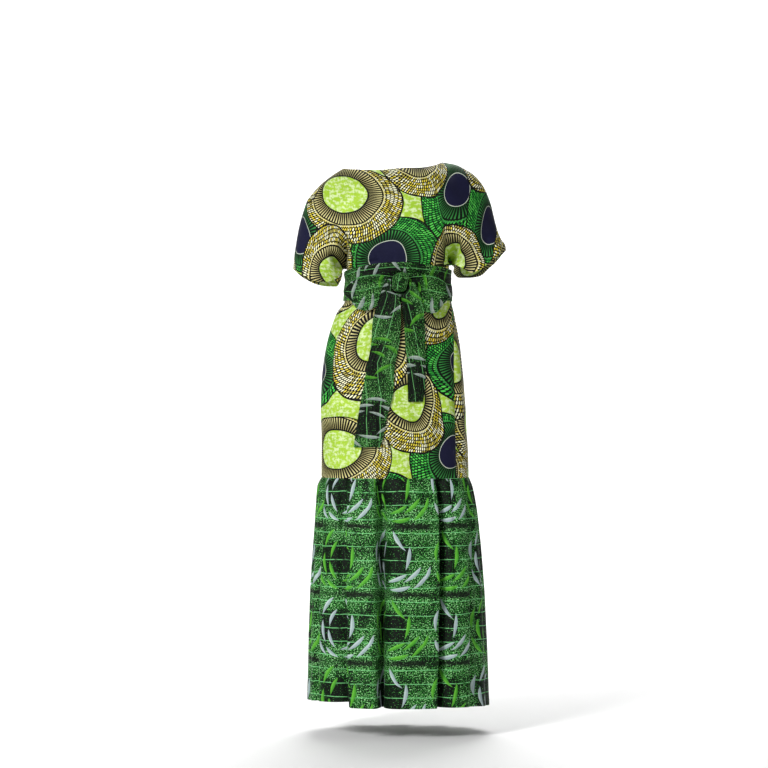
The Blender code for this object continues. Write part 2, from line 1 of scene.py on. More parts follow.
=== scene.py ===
"""Looks of a full-length wax-print dress: batwing short sleeves, column skirt, pleated flounce, tied sash.

Metres, in the model's own frame: +Z up, front facing -Y, origin midway between the shoulders.
Each piece is a thin cloth shell on its solid's form, with the creases that the
solid leaves out, hems, seams and stitching, and a printed cotton material.
"""

import math

import bpy
import numpy as np
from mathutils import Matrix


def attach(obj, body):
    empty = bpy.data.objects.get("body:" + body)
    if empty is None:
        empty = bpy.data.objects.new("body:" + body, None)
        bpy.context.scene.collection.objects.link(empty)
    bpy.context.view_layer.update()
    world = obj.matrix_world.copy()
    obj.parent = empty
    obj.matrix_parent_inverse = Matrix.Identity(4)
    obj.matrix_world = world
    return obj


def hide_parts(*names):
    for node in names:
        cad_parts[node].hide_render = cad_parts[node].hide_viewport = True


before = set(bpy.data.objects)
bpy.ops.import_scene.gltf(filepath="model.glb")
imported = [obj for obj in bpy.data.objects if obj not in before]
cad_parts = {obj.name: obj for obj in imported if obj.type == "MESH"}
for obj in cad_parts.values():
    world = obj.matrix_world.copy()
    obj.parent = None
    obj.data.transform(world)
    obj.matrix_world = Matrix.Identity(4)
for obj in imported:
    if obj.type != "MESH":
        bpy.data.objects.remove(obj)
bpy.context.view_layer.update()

# Sizes
CLOTH = 0.0007  # thickness of the cotton
SEAM_GAP = 0.0002
HALF_GAP = SEAM_GAP / 2
WAIST_Z = -0.285
FLOUNCE_Z = -0.798
HEM_Z = -1.378
SECTION_POWER = 2.3
BAND_OUT = 0.0042
HEM_TURN = 0.014  # width of the turned hems
HEM_SOFT = 0.0025  # how softly the turned part ends
HEM_RAISE = 0.0004
HEM_STITCH = HEM_TURN - 0.002  # how far in the hem is stitched
SASH_STITCH = 0.005
SEAM_WIDE = 0.0022
SEAM_SINK = 0.0009
STITCH_PITCH = 0.0040
STITCH_SHARE = 0.66  # of the pitch
STITCH_THICK = 0.00022
STITCH_LIFT = 0.00030
SASH_LIFT = 0.00035
SLEEVE_FROM = 0.505  # across the bodice


def metres(kept, rows):
    """A table in metres, from one whose columns after the kept ones are in millimetres."""
    return tuple(row[:kept] + tuple(value / 1000 for value in row[kept:]) for row in rows)


# Outline of the overarm seams from neck point to sleeve hem: x, z
OVERARM_RIGHT_SIDE = metres(0, (
    (-143, 2.6), (-164.3, -10.4), (-185.9, -26), (-203.3, -40.8), (-222.6, -62.4), (-235.6, -79.6),
    (-244.4, -104), (-252.7, -131.3), (-259.2, -158.6), (-264.7, -189.8), (-269.1, -218.4),
    (-272.2, -257.5),
))
OVERARM_LEFT_SIDE = metres(0, (
    (115.5, 19), (150, 13), (171.6, 2.6), (193.2, -10.4), (211, -27.8), (223.5, -46), (234.5, -70),
    (242.8, -94.6), (249.3, -122.2), (257.9, -155), (268.6, -181), (279, -196), (280.5, -208.5),
))

# Neckline: across, x, z
NECKLINE = metres(1, (
    (-1.00, -143, 2.6), (-0.75, -110, -3.5), (-0.45, -70, -5.8), (0.00, -10, -1.5), (0.50, 60, 0.8),
    (0.80, 96, 8.5), (1.00, 115.5, 19),
))

# Lower edge of the bodice: across, x, z. 0.5 is the side-waist point.
LOWER_EDGE_FRONT = metres(1, (
    (-1.00, -272.2, -257.5), (-0.90, -250.6, -273), (-0.80, -218.4, -289.5), (-0.70, -188.6, -293.6),
    (-0.60, -160, -285), (-0.54, -145, -266), (-0.50, -134.5, -258), (-0.45, -126, -280),
    (-0.40, -113, -285), (0.00, 0, -285), (0.40, 113, -285), (0.45, 126, -278), (0.50, 134.5, -248),
    (0.54, 145, -247), (0.60, 163, -256), (0.70, 189, -269.4), (0.80, 212.7, -260.8), (0.90, 245, -234.5),
    (1.00, 280.5, -208.5),
))
LOWER_EDGE_BACK = metres(1, (
    (-1.00, -272.2, -257.5), (-0.90, -250.6, -276), (-0.80, -218.4, -293), (-0.70, -188.6, -300),
    (-0.60, -162, -301), (-0.55, -150, -286), (-0.52, -143.2, -261), (-0.50, -134.5, -258),
    (-0.45, -126, -280), (-0.40, -113, -285), (0.00, 0, -285), (0.40, 113, -285), (0.45, 126, -278),
    (0.50, 134.5, -248), (0.52, 143.2, -254), (0.55, 150, -270), (0.60, 161, -278), (0.70, 187, -277.5),
    (0.80, 212.7, -274), (0.90, 245, -248), (1.00, 280.5, -208.5),
))

# Bodice depth at the middle: down, front, back
BODICE_DEPTH = metres(1, (
    (0.00, 75, 62), (0.15, 98, 86), (0.30, 115, 99), (0.50, 124, 104), (0.65, 121, 102), (0.78, 109, 96),
    (0.86, 98.5, 91.5), (1.00, 97, 91.5),
))
SLEEVE_DEPTH_FRONT = 0.070
SLEEVE_DEPTH_BACK = 0.078

# Bodice creases of the solid: across, down at the top, across, down at the foot, half-width, depth
BODICE_CREASES = (
    (-0.66, 0.72, -0.53, 0.97, 0.035, 0.0060),
    (0.60, 0.70, 0.53, 0.97, 0.035, 0.0070),
    (-0.22, 0.62, -0.34, 1.00, 0.030, 0.0030),
    (0.24, 0.66, 0.33, 1.00, 0.030, 0.0030),
)

# Body section: z, x of the right-hand side, x of the left-hand side, front, back
SKIRT_SECTIONS = metres(0, (
    (-240, -134.5, 134.5, 97.5, 92), (-285, -134.5, 134.5, 97.5, 92), (-343, -139, 138.5, 101, 100),
    (-372, -158, 145.5, 105, 109), (-426, -178, 156, 112, 124), (-491, -192, 165, 118, 136),
    (-546, -198, 171, 121, 140), (-624, -200.5, 176.5, 124, 140), (-702, -198.5, 180, 127, 137),
    (-798, -199, 184, 132, 135),
))

# Skirt folds: angle from the front middle, half-width, depth, z of the top, z of the foot
SKIRT_FOLDS = metres(2, (
    (57, 4, -3.6, -350, -830), (69, 6, 2.6, -360, -830), (-63, 6, -4, -380, -700),
    (-12, 7, -2, -560, -830), (232, 6, -6, -360, -830), (198, 7, -3, -420, -780),
    (156, 7, -4, -380, -830), (120, 6, -5, -360, -760),
))

# Skirt side seam on the wearer's left, which hangs forward: z, angle from the front middle
SKIRT_SEAM = (
    (-0.240, 88.0), (-0.345, 80.0), (-0.393, 68.5), (-0.452, 63.3),
    (-0.512, 59.7), (-0.620, 56.5), (-0.700, 55.4), (-0.798, 54.1),
)

# Flounce: z, x of the right-hand side, x of the left-hand side, front, back
FLOUNCE_SECTIONS = metres(0, (
    (-798, -199, 184, 132, 135), (-822, -209.5, 193.5, 140, 143), (-870, -213.5, 203, 150, 153),
    (-923, -217, 210, 158, 161), (-1035, -225, 220.5, 171, 174), (-1115, -229, 226, 179, 182),
    (-1250, -233, 232, 190, 193), (-1378, -235.5, 236.5, 198, 201),
))

# Flounce pleat valleys: side, angle from that side's middle, shift at the hem, half-width,
# depth at the hem, overlap, lean. A leaning pleat is steep on its +X side (plus) or -X side (minus).
PLEATS = (
    ("front", -66.0, 3.0, 3.4, 0.0100, 0.4, 0.0), ("front", -40.2, 7.0, 6.2, 0.0200, 0.3, 0.8),
    ("front", -8.2, -1.2, 5.6, 0.0500, 0.5, -0.7), ("front", 33.6, -9.2, 5.0, 0.0500, 0.5, -0.9),
    ("front", 62.0, -10.5, 3.6, 0.0140, 0.5, -0.3), ("back", -64.0, 3.0, 4.0, 0.0160, 0.5, 0.3),
    ("back", -38.0, 2.0, 5.4, 0.0440, 0.6, 0.7), ("back", -11.0, 1.0, 4.4, 0.0220, 0.5, -0.5),
    ("back", 15.0, -2.0, 5.6, 0.0470, 0.5, -0.8), ("back", 42.0, -3.0, 5.2, 0.0330, 0.6, 0.6),
    ("back", 66.0, -3.0, 4.0, 0.0150, 0.5, -0.3),
)
PLEAT_GROWTH = ((-0.798, 0.20), (-0.812, 0.42), (-0.860, 0.70), (-0.960, 0.86), (-1.378, 1.10))

# Flounce hem: angle from that side's middle before the shift, z
HEM_FRONT = metres(1, (
    (-90, -1374), (-62, -1368), (-38, -1365), (-31, -1378), (0, -1378.5), (40, -1378), (66, -1381),
    (90, -1388),
))
HEM_BACK = metres(1, (
    (-90, -1374), (-50, -1375), (0, -1379), (40, -1382), (90, -1388),
))

# Sash band edges: angle from the front middle, z of the top, z of the foot
BAND_EDGES = metres(1, (
    (-180, -250, -336), (-135, -256, -338), (-90, -265.5, -340.5), (-45, -256, -340), (0, -244, -338),
    (45, -254, -341), (90, -262, -341.5), (135, -256, -339), (180, -250, -336),
))

# Bow loops: along, z of the upper edge, z of the lower edge
LOOP_EDGES_RIGHT_SIDE = metres(1, (
    (0.00, -281, -319), (0.15, -279, -340), (0.40, -277, -359), (0.65, -279, -368), (0.85, -286, -364),
    (1.00, -300, -344),
))
LOOP_EDGES_LEFT_SIDE = metres(1, (
    (0.00, -284, -320), (0.15, -279, -345), (0.40, -277.5, -364), (0.65, -281, -376), (0.85, -290, -372),
    (1.00, -306, -350),
))

# Loop ends: across, x of the outer end
LOOP_END_RIGHT_SIDE = metres(1, (
    (0, -127), (0.5, -138.5), (1, -120),
))
LOOP_END_LEFT_SIDE = metres(1, (
    (0, 129), (0.5, 137), (1, 113),
))
LOOP_START_RIGHT_SIDE = -0.0135
LOOP_START_LEFT_SIDE = 0.0230
LOOP_BASE_OUT = 0.0066
LOOP_THICK_KNOT = 0.0030
LOOP_THICK_GAIN = 0.0085

# Sash tails: z, x of the right-hand edge, x of the left-hand edge, out from the skirt
TAIL_RIGHT_SIDE = metres(0, (
    (-288, -33, -19, 23.5), (-305, -39, -18.4, 24), (-318, -42, -17.5, 24), (-324, -44.5, -8, 24),
    (-331, -46.5, 2, 24), (-360, -56, 6, 24), (-378, -61, 6.5, 20), (-400, -66, 6, 13),
    (-450, -69, 3, 7.2), (-512, -80, -8, 5.6), (-585, -93, -14, 5), (-630, -101, -26, 5),
    (-690, -110, -38, 5), (-718, -114, -46, 5),
))
TAIL_LEFT_SIDE = metres(0, (
    (-296, 28.7, 42, 24), (-312, 27, 48, 24.5), (-322, 19, 54, 24.5), (-331, 8.5, 58, 24),
    (-360, 10.4, 64, 24.5), (-378, 12.5, 65.5, 20), (-400, 15, 67, 13), (-440, 17, 69, 7.8),
    (-510, 22.4, 70.2, 5.4), (-570, 24.5, 68, 5), (-602, 25.6, 63, 5),
))

KNOT_CENTRE = (0.0050, -0.2960)
KNOT_HALF_WIDTH = 0.0235
KNOT_HALF_HEIGHT = 0.0240
KNOT_HALF_DEPTH = 0.0160
KNOT_OUT = 0.0225

# Finer creases, in front view: start x z, bend x z, end x z, half-width, depth. Minus sinks.
CREASES_FRONT = metres(0, (
    (-133, -256, -158, -240, -203, -190, 10, -9), (-136, -262, -165, -258, -215, -232, 9, -4.5),
    (-130, -252, -134, -210, -158, -150, 13, -4), (-118, -256, -110, -225, -118, -175, 9, -3),
    (-90, -252, -84, -230, -90, -205, 6, -2.2), (-52, -249, -49, -232, -55, -212, 5, -1.6),
    (-12, -247, -14, -234, -10, -218, 4.5, -1.4), (30, -248, 34, -228, 30, -206, 5.5, -1.8),
    (66, -250, 70, -222, 80, -190, 6.5, -2.4), (104, -252, 104, -220, 120, -170, 9, -3.4),
    (134, -246, 140, -215, 160, -172, 10, -9.5), (136, -247, 158, -232, 200, -212, 8.5, -5),
    (138, -247, 150, -190, 186, -120, 13, -3.6), (-236, -275, -228, -230, -240, -170, 11, -3.6),
    (-200, -292, -196, -262, -212, -215, 9.5, 3), (232, -250, 222, -205, 228, -150, 11, -4),
    (262, -226, 250, -200, 246, -160, 9, 3), (-132, -8, -176, -60, -206, -130, 17, -2.2),
    (122, 0, 168, -50, 204, -125, 17, -2.4), (-60, 0, -30, -14, 40, 0, 12, -1.4),
))
CREASES_BACK = metres(0, (
    (134, -250, 150, -225, 192, -175, 11, -8.5), (136, -254, 166, -246, 212, -222, 9, -4.5),
    (-134, -256, -152, -228, -190, -172, 11, -9), (-136, -262, -168, -256, -214, -228, 9, -4),
    (-108, -256, -100, -216, -112, -160, 10, -4), (-70, -254, -62, -220, -66, -180, 8, -3),
    (-28, -252, -26, -224, -30, -196, 6, -2.2), (12, -252, 10, -220, 14, -178, 7, -2.6),
    (52, -254, 58, -222, 52, -190, 7, -2.4), (96, -254, 102, -214, 118, -150, 10, -4),
    (-150, -20, -130, -90, -150, -160, 18, -3), (140, -10, 128, -85, 150, -150, 18, -3),
    (-232, -278, -226, -235, -236, -180, 11, -3.6), (236, -256, 226, -210, 230, -155, 11, -3.8),
    (-80, -30, 0, -50, 90, -24, 16, -2.2),
))

# Skirt drag lines from hip and sash, in the same columns
CREASES_SKIRT_FRONT = metres(0, (
    (-120, -345, -140, -400, -172, -440, 11, -3.2), (-80, -345, -96, -410, -120, -500, 13, -2.6),
    (95, -345, 105, -400, 112, -480, 11, -2.6), (120, -350, 132, -380, 150, -420, 9, -3),
    (-150, -560, -140, -660, -150, -790, 14, -2.6), (-60, -620, -52, -700, -58, -796, 13, -2.4),
    (46, -600, 40, -690, 46, -796, 14, -2.2), (108, -540, 110, -660, 104, -796, 12, -3),
    (-110, -700, -106, -750, -112, -797, 8, -2), (4, -740, 2, -770, 6, -797, 7, -1.6),
))
CREASES_SKIRT_BACK = metres(0, (
    (-110, -345, -120, -400, -150, -470, 12, -3.4), (-50, -345, -56, -390, -50, -450, 9, -2.4),
    (20, -345, 22, -385, 16, -440, 9, -2.2), (80, -345, 92, -400, 118, -470, 12, -3.2),
    (-120, -560, -112, -680, -118, -796, 14, -3), (0, -520, -6, -660, 2, -796, 15, -3.4),
    (100, -570, 94, -690, 104, -796, 13, -3), (60, -700, 58, -750, 64, -797, 8, -1.8),
))

# Flounce creases: side, angle, half-width, depth, z where it starts, z where it fades
FLOUNCE_CREASES = metres(3, (
    ("front", -78, 2.4, -5, -800, -1378), ("front", -66, 2.6, -6, -800, -1378),
    ("front", -44, 1.6, -3.6, -800, -1200), ("front", -26, 1.5, -3, -800, -1060),
    ("front", -3, 1.8, -2.2, -800, -980), ("front", 8, 1.8, -3, -800, -1100),
    ("front", 19, 1.5, -2, -800, -940), ("front", 44, 1.6, -4, -800, -1250),
    ("front", 68, 2.2, -6, -800, -1378), ("front", 79, 2.4, -5, -800, -1378),
    ("back", -78, 2.4, -5, -800, -1378), ("back", -51, 1.8, -5, -800, -1378),
    ("back", -26, 1.8, -4, -800, -1150), ("back", -2, 1.8, -5, -800, -1300),
    ("back", 6, 1.5, -2.4, -800, -960), ("back", 28, 1.8, -5, -800, -1378),
    ("back", 54, 1.8, -5, -800, -1300), ("back", 79, 2.4, -5, -800, -1378),
))


# Shapes
def curve(rows, at, key=0, value=1):
    """Smooth curve through a table's rows, read at the places given."""
    xs = np.array([r[key] for r in rows], float)
    ys = np.array([r[value] for r in rows], float)
    if xs[0] > xs[-1]:
        xs = xs[::-1]
        ys = ys[::-1]
    steps = np.diff(xs)
    slopes = np.diff(ys) / steps
    tangents = np.empty_like(ys)
    tangents[0] = slopes[0]
    tangents[-1] = slopes[-1]
    same_way = slopes[1:] * slopes[:-1] > 0
    whole = np.where(same_way, slopes[1:] + slopes[:-1], 1.0)
    tangents[1:-1] = np.where(same_way, 2 * slopes[1:] * slopes[:-1] / whole, 0.0)
    at = np.clip(np.asarray(at, float), xs[0], xs[-1])
    i = np.clip(np.searchsorted(xs, at, side="right") - 1, 0, len(xs) - 2)
    t = (at - xs[i]) / steps[i]
    t2 = t * t
    t3 = t2 * t
    start = (2 * t3 - 3 * t2 + 1) * ys[i] + (t3 - 2 * t2 + t) * steps[i] * tangents[i]
    end = (3 * t2 - 2 * t3) * ys[i + 1] + (t3 - t2) * steps[i] * tangents[i + 1]
    return start + end


def smooth_step(t):
    t = np.clip(t, 0.0, 1.0)
    return t * t * (3 - 2 * t)


def run_along(line):
    """Distance along a line of points, from its start."""
    steps = np.linalg.norm(np.diff(line, axis=0), axis=-1)
    return np.concatenate([[0.0], np.cumsum(steps)])


def along_outline(points, v):
    """Points of an outline at shares v of its length."""
    p = np.array(points, float)
    length = run_along(p)
    rows = np.column_stack([length / length[-1], p])
    return curve(rows, v, 0, 1), curve(rows, v, 0, 2)


def body_depth(side, x, z):
    """Depth of the waist and skirt, which the sash holds the bodice to."""
    right = curve(SKIRT_SECTIONS, z, 0, 1)
    left = curve(SKIRT_SECTIONS, z, 0, 2)
    depth = curve(SKIRT_SECTIONS, z, 0, 3 if side == "front" else 4)
    t = np.clip(np.abs(x - (left + right) / 2) / ((left - right) / 2), 0, 1)
    return depth * (1 - t**SECTION_POWER) ** (1 / SECTION_POWER)


def front_y(x, z, out):
    """y of the front of the body, moved out."""
    return -body_depth("front", x, z) - out


def bodice_points(side, u, v, sunken=True):
    """Middle surface of one bodice panel. u runs across it, v from neckline to lower edge.

    Without sunken it is the plain form, which the print is laid out on.
    """
    front = side == "front"
    edge = LOWER_EDGE_FRONT if front else LOWER_EDGE_BACK
    share = (u + 1) / 2
    right = along_outline(OVERARM_RIGHT_SIDE, v)
    left = along_outline(OVERARM_LEFT_SIDE, v)
    place = []
    for k in (0, 1):
        across = (1 - v) * curve(NECKLINE, u, 0, k + 1) + v * curve(edge, u, 0, k + 1)
        down = (1 - share) * right[k] + share * left[k]
        top = (1 - share) * NECKLINE[0][k + 1] + share * NECKLINE[-1][k + 1]
        foot = (1 - share) * edge[0][k + 1] + share * edge[-1][k + 1]
        place.append(across + down - (1 - v) * top - v * foot)
    x, z = place
    depth = curve(BODICE_DEPTH, v, 0, 1 if front else 2)
    sleeve = SLEEVE_DEPTH_FRONT if front else SLEEVE_DEPTH_BACK
    whole = depth * np.clip(1 - np.abs(u) ** 2.2, 0, None) ** 0.5
    torso_place = np.clip(np.abs(u) / 0.5, 0, 1)
    torso = depth * np.clip(1 - torso_place**SECTION_POWER, 0, None) ** (1 / SECTION_POWER)
    sleeve_place = np.clip(np.abs(np.abs(u) - 0.75) / 0.25, 0, 1)
    arm = sleeve * np.clip(1 - sleeve_place**2.2, 0, None) ** 0.6
    lobes = np.where(np.abs(u) <= 0.5, torso, arm)
    sunk = smooth_step((v - 0.64) / 0.36) ** 1.4
    between = depth * (1 - 0.5**2.2) ** 0.5 * np.exp(-(((np.abs(u) - 0.5) / 0.11) ** 2))
    parted = smooth_step((v - 0.81) / 0.19)
    out = (1 - parted) * (whole - sunk * between) + parted * lobes
    if not sunken:
        return np.stack([x, whole if not front else -whole, z], -1)
    for u0, v0, u1, v1, width, deep in BODICE_CREASES:
        du = u1 - u0
        dv = v1 - v0
        t = np.clip(((u - u0) * du + (v - v0) * dv) / (du * du + dv * dv), 0, 1)
        away = np.hypot(u - u0 - t * du, (v - v0 - t * dv) * 0.8)
        ease = smooth_step(t / 0.4) * smooth_step((1 - v) / 0.10)
        out = out - deep * ease * np.exp(-((away / width) ** 2))
    held = body_depth(side, x, z)
    under_sash = smooth_step((-0.230 - z) / 0.014) * (np.abs(u) <= 0.5)
    out = (1 - under_sash) * out + under_sash * np.minimum(out, held)
    clear = HALF_GAP + CLOTH * 0.7 * (1 - np.abs(u) ** 8)
    y = np.maximum(out, 0) + clear
    return np.stack([x, -y if front else y, z], -1)


def lobe_columns(start, end, count):
    t = np.arange(count + 1) / count
    return start + (end - start) * (1 - np.cos(math.pi * t)) / 2


def section(rows, angle, z, out=0.0):
    """Points of a body section. The angle is in degrees from the front middle, +90 at +X."""
    a = np.radians(angle)
    right = curve(rows, z, 0, 1)
    left = curve(rows, z, 0, 2)
    depth = np.where(np.cos(a) >= 0, curve(rows, z, 0, 3), curve(rows, z, 0, 4))
    power = 2 / SECTION_POWER
    s = np.sin(a)
    c = np.cos(a)
    half = (left - right) / 2 + out
    x = (left + right) / 2 + half * np.sign(s) * np.abs(s) ** power
    y = -(depth + out) * np.sign(c) * np.abs(c) ** power
    return np.stack([x, y, z + 0 * a], -1)


def skirt_surface(angle, z):
    """Middle surface of the skirt. The angle is from the front middle, -90 to 270."""
    out = 0 * z + 0 * angle
    for centre, width, deep, top, foot in SKIRT_FOLDS:
        ease = smooth_step((top - z) / 0.10) * smooth_step((z - foot) / 0.06)
        out = out + deep * ease * np.exp(-(((angle - centre) / width) ** 2))
    return section(SKIRT_SECTIONS, angle, z, out)


def skirt_points(side, share, z):
    """One skirt panel. share runs across it from seam to seam, growing the way the angle does."""
    seam = curve(SKIRT_SEAM, z)
    degree = np.linalg.norm(skirt_surface(seam + 0.5, z) - skirt_surface(seam - 0.5, z), axis=-1)
    gap = HALF_GAP / degree
    if side == "front":
        angle = -90 + (seam - gap + 90) * share
        p = skirt_surface(angle, z)
        p[..., 1] -= HALF_GAP * smooth_step((angle + 45) / -45)
        return p
    angle = seam + gap + (270 - seam - gap) * share
    p = skirt_surface(angle, z)
    p[..., 1] += HALF_GAP * smooth_step((angle - 225) / 45)
    return p


def skirt_seam_normals(z):
    """Outward directions along the seam, shared by the two panels it joins."""
    seam = curve(SKIRT_SEAM, z)
    across = skirt_surface(seam + 0.5, z) - skirt_surface(seam - 0.5, z)
    down = skirt_surface(seam, z - 0.004) - skirt_surface(seam, z + 0.004)
    n = np.cross(down, across)
    return n / np.linalg.norm(n, axis=-1, keepdims=True)


def pleat_shift(side, angle):
    """How far the pleats hang to one side at the hem."""
    rows = [(-90.0, 0.0)] + [(r[1], r[2]) for r in PLEATS if r[0] == side] + [(90.0, 0.0)]
    return curve(rows, angle)


def flounce_z(side, angle, share):
    """Height on the flounce at a share of the way from its seam to its hem."""
    top = FLOUNCE_Z - SEAM_GAP
    hem = curve(HEM_FRONT if side == "front" else HEM_BACK, angle)
    return top + (hem - top) * share


def flounce_points(side, angle, z):
    growth = curve(PLEAT_GROWTH, z)
    out = 0 * z + 0 * angle
    turn = 0 * z + 0 * angle
    for where, centre, _shift, width, deep, overlap, lean in PLEATS:
        if where == side:
            t = (angle - centre) / width
            steep = 2.6 * (1 + np.sign(t) * lean) if lean else 2.6
            out = out - deep * growth * np.exp(-np.abs(t) ** np.maximum(steep, 1.7))
            turn = turn - overlap * width * growth * t * np.exp(-(t**2) * 0.9)
            edge = np.sign(lean) * 1.15
            turn = turn - 0.35 * lean * width * growth * np.exp(-(((t - edge) / 0.35) ** 2))
    for where, centre, width, deep, top, foot in FLOUNCE_CREASES:
        if where == side:
            fade = smooth_step((top - z) / 0.03) * (1 if foot <= HEM_Z else smooth_step((z - foot) / 0.12))
            out = out + deep * fade * np.exp(-(((angle - centre) / width) ** 2))
    pucker = np.exp(-((FLOUNCE_Z - z) / 0.022)) * smooth_step((FLOUNCE_Z - z) / 0.004)
    waves = np.sin(np.radians(angle) * 41 + 1.7 * np.sin(np.radians(angle) * 7))
    out = out + 0.0014 * pucker * waves
    ease = smooth_step((90 - np.abs(angle)) / 14)
    hang = np.clip((FLOUNCE_Z - z) / (FLOUNCE_Z - HEM_Z), 0, 1)
    turned = angle + turn * ease + pleat_shift(side, angle) * hang
    if side == "back":
        p = section(FLOUNCE_SECTIONS, 180 - turned, z, out * ease)
        p[..., 1] += HALF_GAP
    else:
        p = section(FLOUNCE_SECTIONS, turned, z, out * ease)
        p[..., 1] -= HALF_GAP
    return p


def pleat_columns(side, count):
    """Angles for the flounce, closer together where it is pleated."""
    fine = np.linspace(-90, 90, 2001)
    density = np.ones_like(fine)
    for where, centre, _shift, width, _deep, _overlap, _lean in PLEATS:
        if where == side:
            density += 2.6 * np.exp(-(((fine - centre) / (1.7 * width)) ** 2))
    total = np.concatenate([[0.0], np.cumsum((density[1:] + density[:-1]) / 2)])
    return np.interp(np.linspace(0, total[-1], count + 1), total, fine)


def band_points(angle, share):
    """Sash band: soft lengthwise folds, drawn together towards the knot."""
    top = curve(BAND_EDGES, angle, 0, 1)
    foot = curve(BAND_EDGES, angle, 0, 2)
    z = top + (foot - top) * share
    a = np.radians(angle)
    folds = 0.0010 * np.cos(share * 3 * math.pi + 0.5 * np.sin(a * 2))
    near = 0.40 + 0.60 * np.exp(-((angle / 60) ** 2))
    bend = share * 3.6 * math.pi + 1.2 * np.sin(a * 1.5 + 0.6) + 0.8 * np.sin(a * 4)
    fine = 0.0024 * near * (1 - np.abs(np.sin(bend)) ** 0.8) * np.sin(math.pi * share)
    fine += 0.0006 * np.sin(share * 11 + angle / 9) * np.sin(a * 5 + share * 4)
    return section(SKIRT_SECTIONS, angle, z, BAND_OUT + folds + fine)


def loop_points(side, s, t):
    """s runs from the knot out along the under layer and back over it, t from upper to lower edge."""
    right = side == "right"
    edges = LOOP_EDGES_RIGHT_SIDE if right else LOOP_EDGES_LEFT_SIDE
    ends = LOOP_END_RIGHT_SIDE if right else LOOP_END_LEFT_SIDE
    start = LOOP_START_RIGHT_SIDE if right else LOOP_START_LEFT_SIDE
    along = np.sin(math.pi * s)
    x = start + (curve(ends, t) - start) * along
    top = curve(edges, along, 0, 1)
    foot = curve(edges, along, 0, 2)
    z = top + (foot - top) * t
    lift = (LOOP_THICK_KNOT + LOOP_THICK_GAIN * along) * (1 - np.cos(math.pi * s))
    over = smooth_step((s - 0.5) * 4)
    pinch = 0.0016 * (1 - along) * np.cos(3 * math.pi * t) * over
    turn = 0.6 if right else 2.1
    ridges = np.abs(np.sin(3.6 * math.pi * t + turn + 0.9 * along)) ** 0.8 - 0.6
    reach = np.clip(1 - along * (0.50 + 0.26 * np.sin(5 * t + turn)), 0, 1) ** 0.8
    fan = 0.0078 * over * reach * ridges
    sag = 0.0022 * over * along * np.sin(math.pi * t) * np.sin(5.5 * along + 4.0 * t + turn)
    y = front_y(0.84 * x, z, LOOP_BASE_OUT + lift + pinch + fan + sag)
    return np.stack([x, y, z], -1)


def tail_points(rows, share, t, phase):
    """share runs down the tail, t across it."""
    z = rows[0][0] + (rows[-1][0] - rows[0][0]) * share
    right = curve(rows, z, 0, 1)
    left = curve(rows, z, 0, 2)
    out = curve(rows, z, 0, 3)
    x = right + (left - right) * t
    fold = 0.0016 * np.cos(2.5 * math.pi * t + 2 * share) * smooth_step(share * 4)
    near = np.exp(-share / 0.22)
    fine = 0.0011 * near * np.cos(7 * math.pi * t + phase) * smooth_step(share * 12)
    fine += 0.0009 * np.sin(9 * share + 5 * t + phase) * smooth_step(share * 5) * (0.4 + t * (1 - t))
    return np.stack([x, front_y(x, z, out + 0.0016 + fold + fine), z], -1)


# Unevenness
def soft_noise(x, y, seed, cell):
    """Smooth seeded unevenness from -1 to 1, with features one cell across."""
    values = np.random.default_rng(seed).uniform(-1, 1, (64, 64))
    gx = x / cell
    gy = y / cell
    ix = np.floor(gx).astype(int)
    iy = np.floor(gy).astype(int)
    fx = smooth_step(gx - ix)
    fy = smooth_step(gy - iy)

    def at(a, b):
        return values[(ix + a) % 64, (iy + b) % 64]

    low = at(0, 0) * (1 - fx) + at(1, 0) * fx
    high = at(0, 1) * (1 - fx) + at(1, 1) * fx
    return low * (1 - fy) + high * fy


def crease_depth(x, z, rows):
    """How far the creases listed in rows push the cloth out (minus: in) at x, z of the front view."""
    total = np.zeros_like(x)
    for x0, z0, x1, z1, x2, z2, width, deep in rows:
        t = np.linspace(0, 1, 25)
        cx = (1 - t) ** 2 * x0 + 2 * t * (1 - t) * x1 + t**2 * x2
        cz = (1 - t) ** 2 * z0 + 2 * t * (1 - t) * z1 + t**2 * z2
        reach = 5 * width
        box = (x > min(cx) - reach) & (x < max(cx) + reach) & (z > min(cz) - reach) & (z < max(cz) + reach)
        gap = np.hypot(x[box][:, None] - cx[None], z[box][:, None] - cz[None])
        near = gap.argmin(1)
        away = gap[np.arange(len(near)), near]
        place = t[near]
        taper = smooth_step((1 - place) / 0.55) * (0.55 + 0.45 * smooth_step(place / 0.25))
        spread = width * (0.75 + 0.6 * place)
        wall = np.exp(-((away / spread) ** 2))
        rims = np.exp(-(((away - 1.9 * spread) / (0.9 * spread)) ** 2))
        total[box] += deep * taper * (wall - 0.35 * rims)
    return total


def grid_normals(p, around=False):
    """Unit normals of a grid of points."""
    q = np.concatenate([p[:, -2:-1], p, p[:, 1:2]], 1) if around else p
    a = q[1:, :-1] - q[:-1, :-1]
    b = q[1:, 1:] - q[:-1, 1:]
    c = q[:-1, 1:] - q[:-1, :-1]
    d = q[1:, 1:] - q[1:, :-1]
    faces = np.cross(a + b, c + d)
    faces /= np.maximum(np.linalg.norm(faces, axis=-1, keepdims=True), 1e-12)
    total = np.zeros(q.shape)
    for i in (0, 1):
        for j in (0, 1):
            total[i : q.shape[0] - 1 + i, j : q.shape[1] - 1 + j] += faces
    n = total / np.maximum(np.linalg.norm(total, axis=-1, keepdims=True), 1e-9)
    return n[:, 1:-1] if around else n


def outward_normals(p, reference, around=False):
    n = grid_normals(p, around)
    return -n if np.sum(n * reference) < 0 else n


def from_axis(p):
    d = p.copy()
    d[..., 2] = 0
    return d


def from_edge(grid, edge):
    """A grid turned so that the named edge is its first row."""
    if edge.endswith("col"):
        grid = np.swapaxes(grid, 0, 1)
    return grid[::-1] if edge.startswith("last") else grid


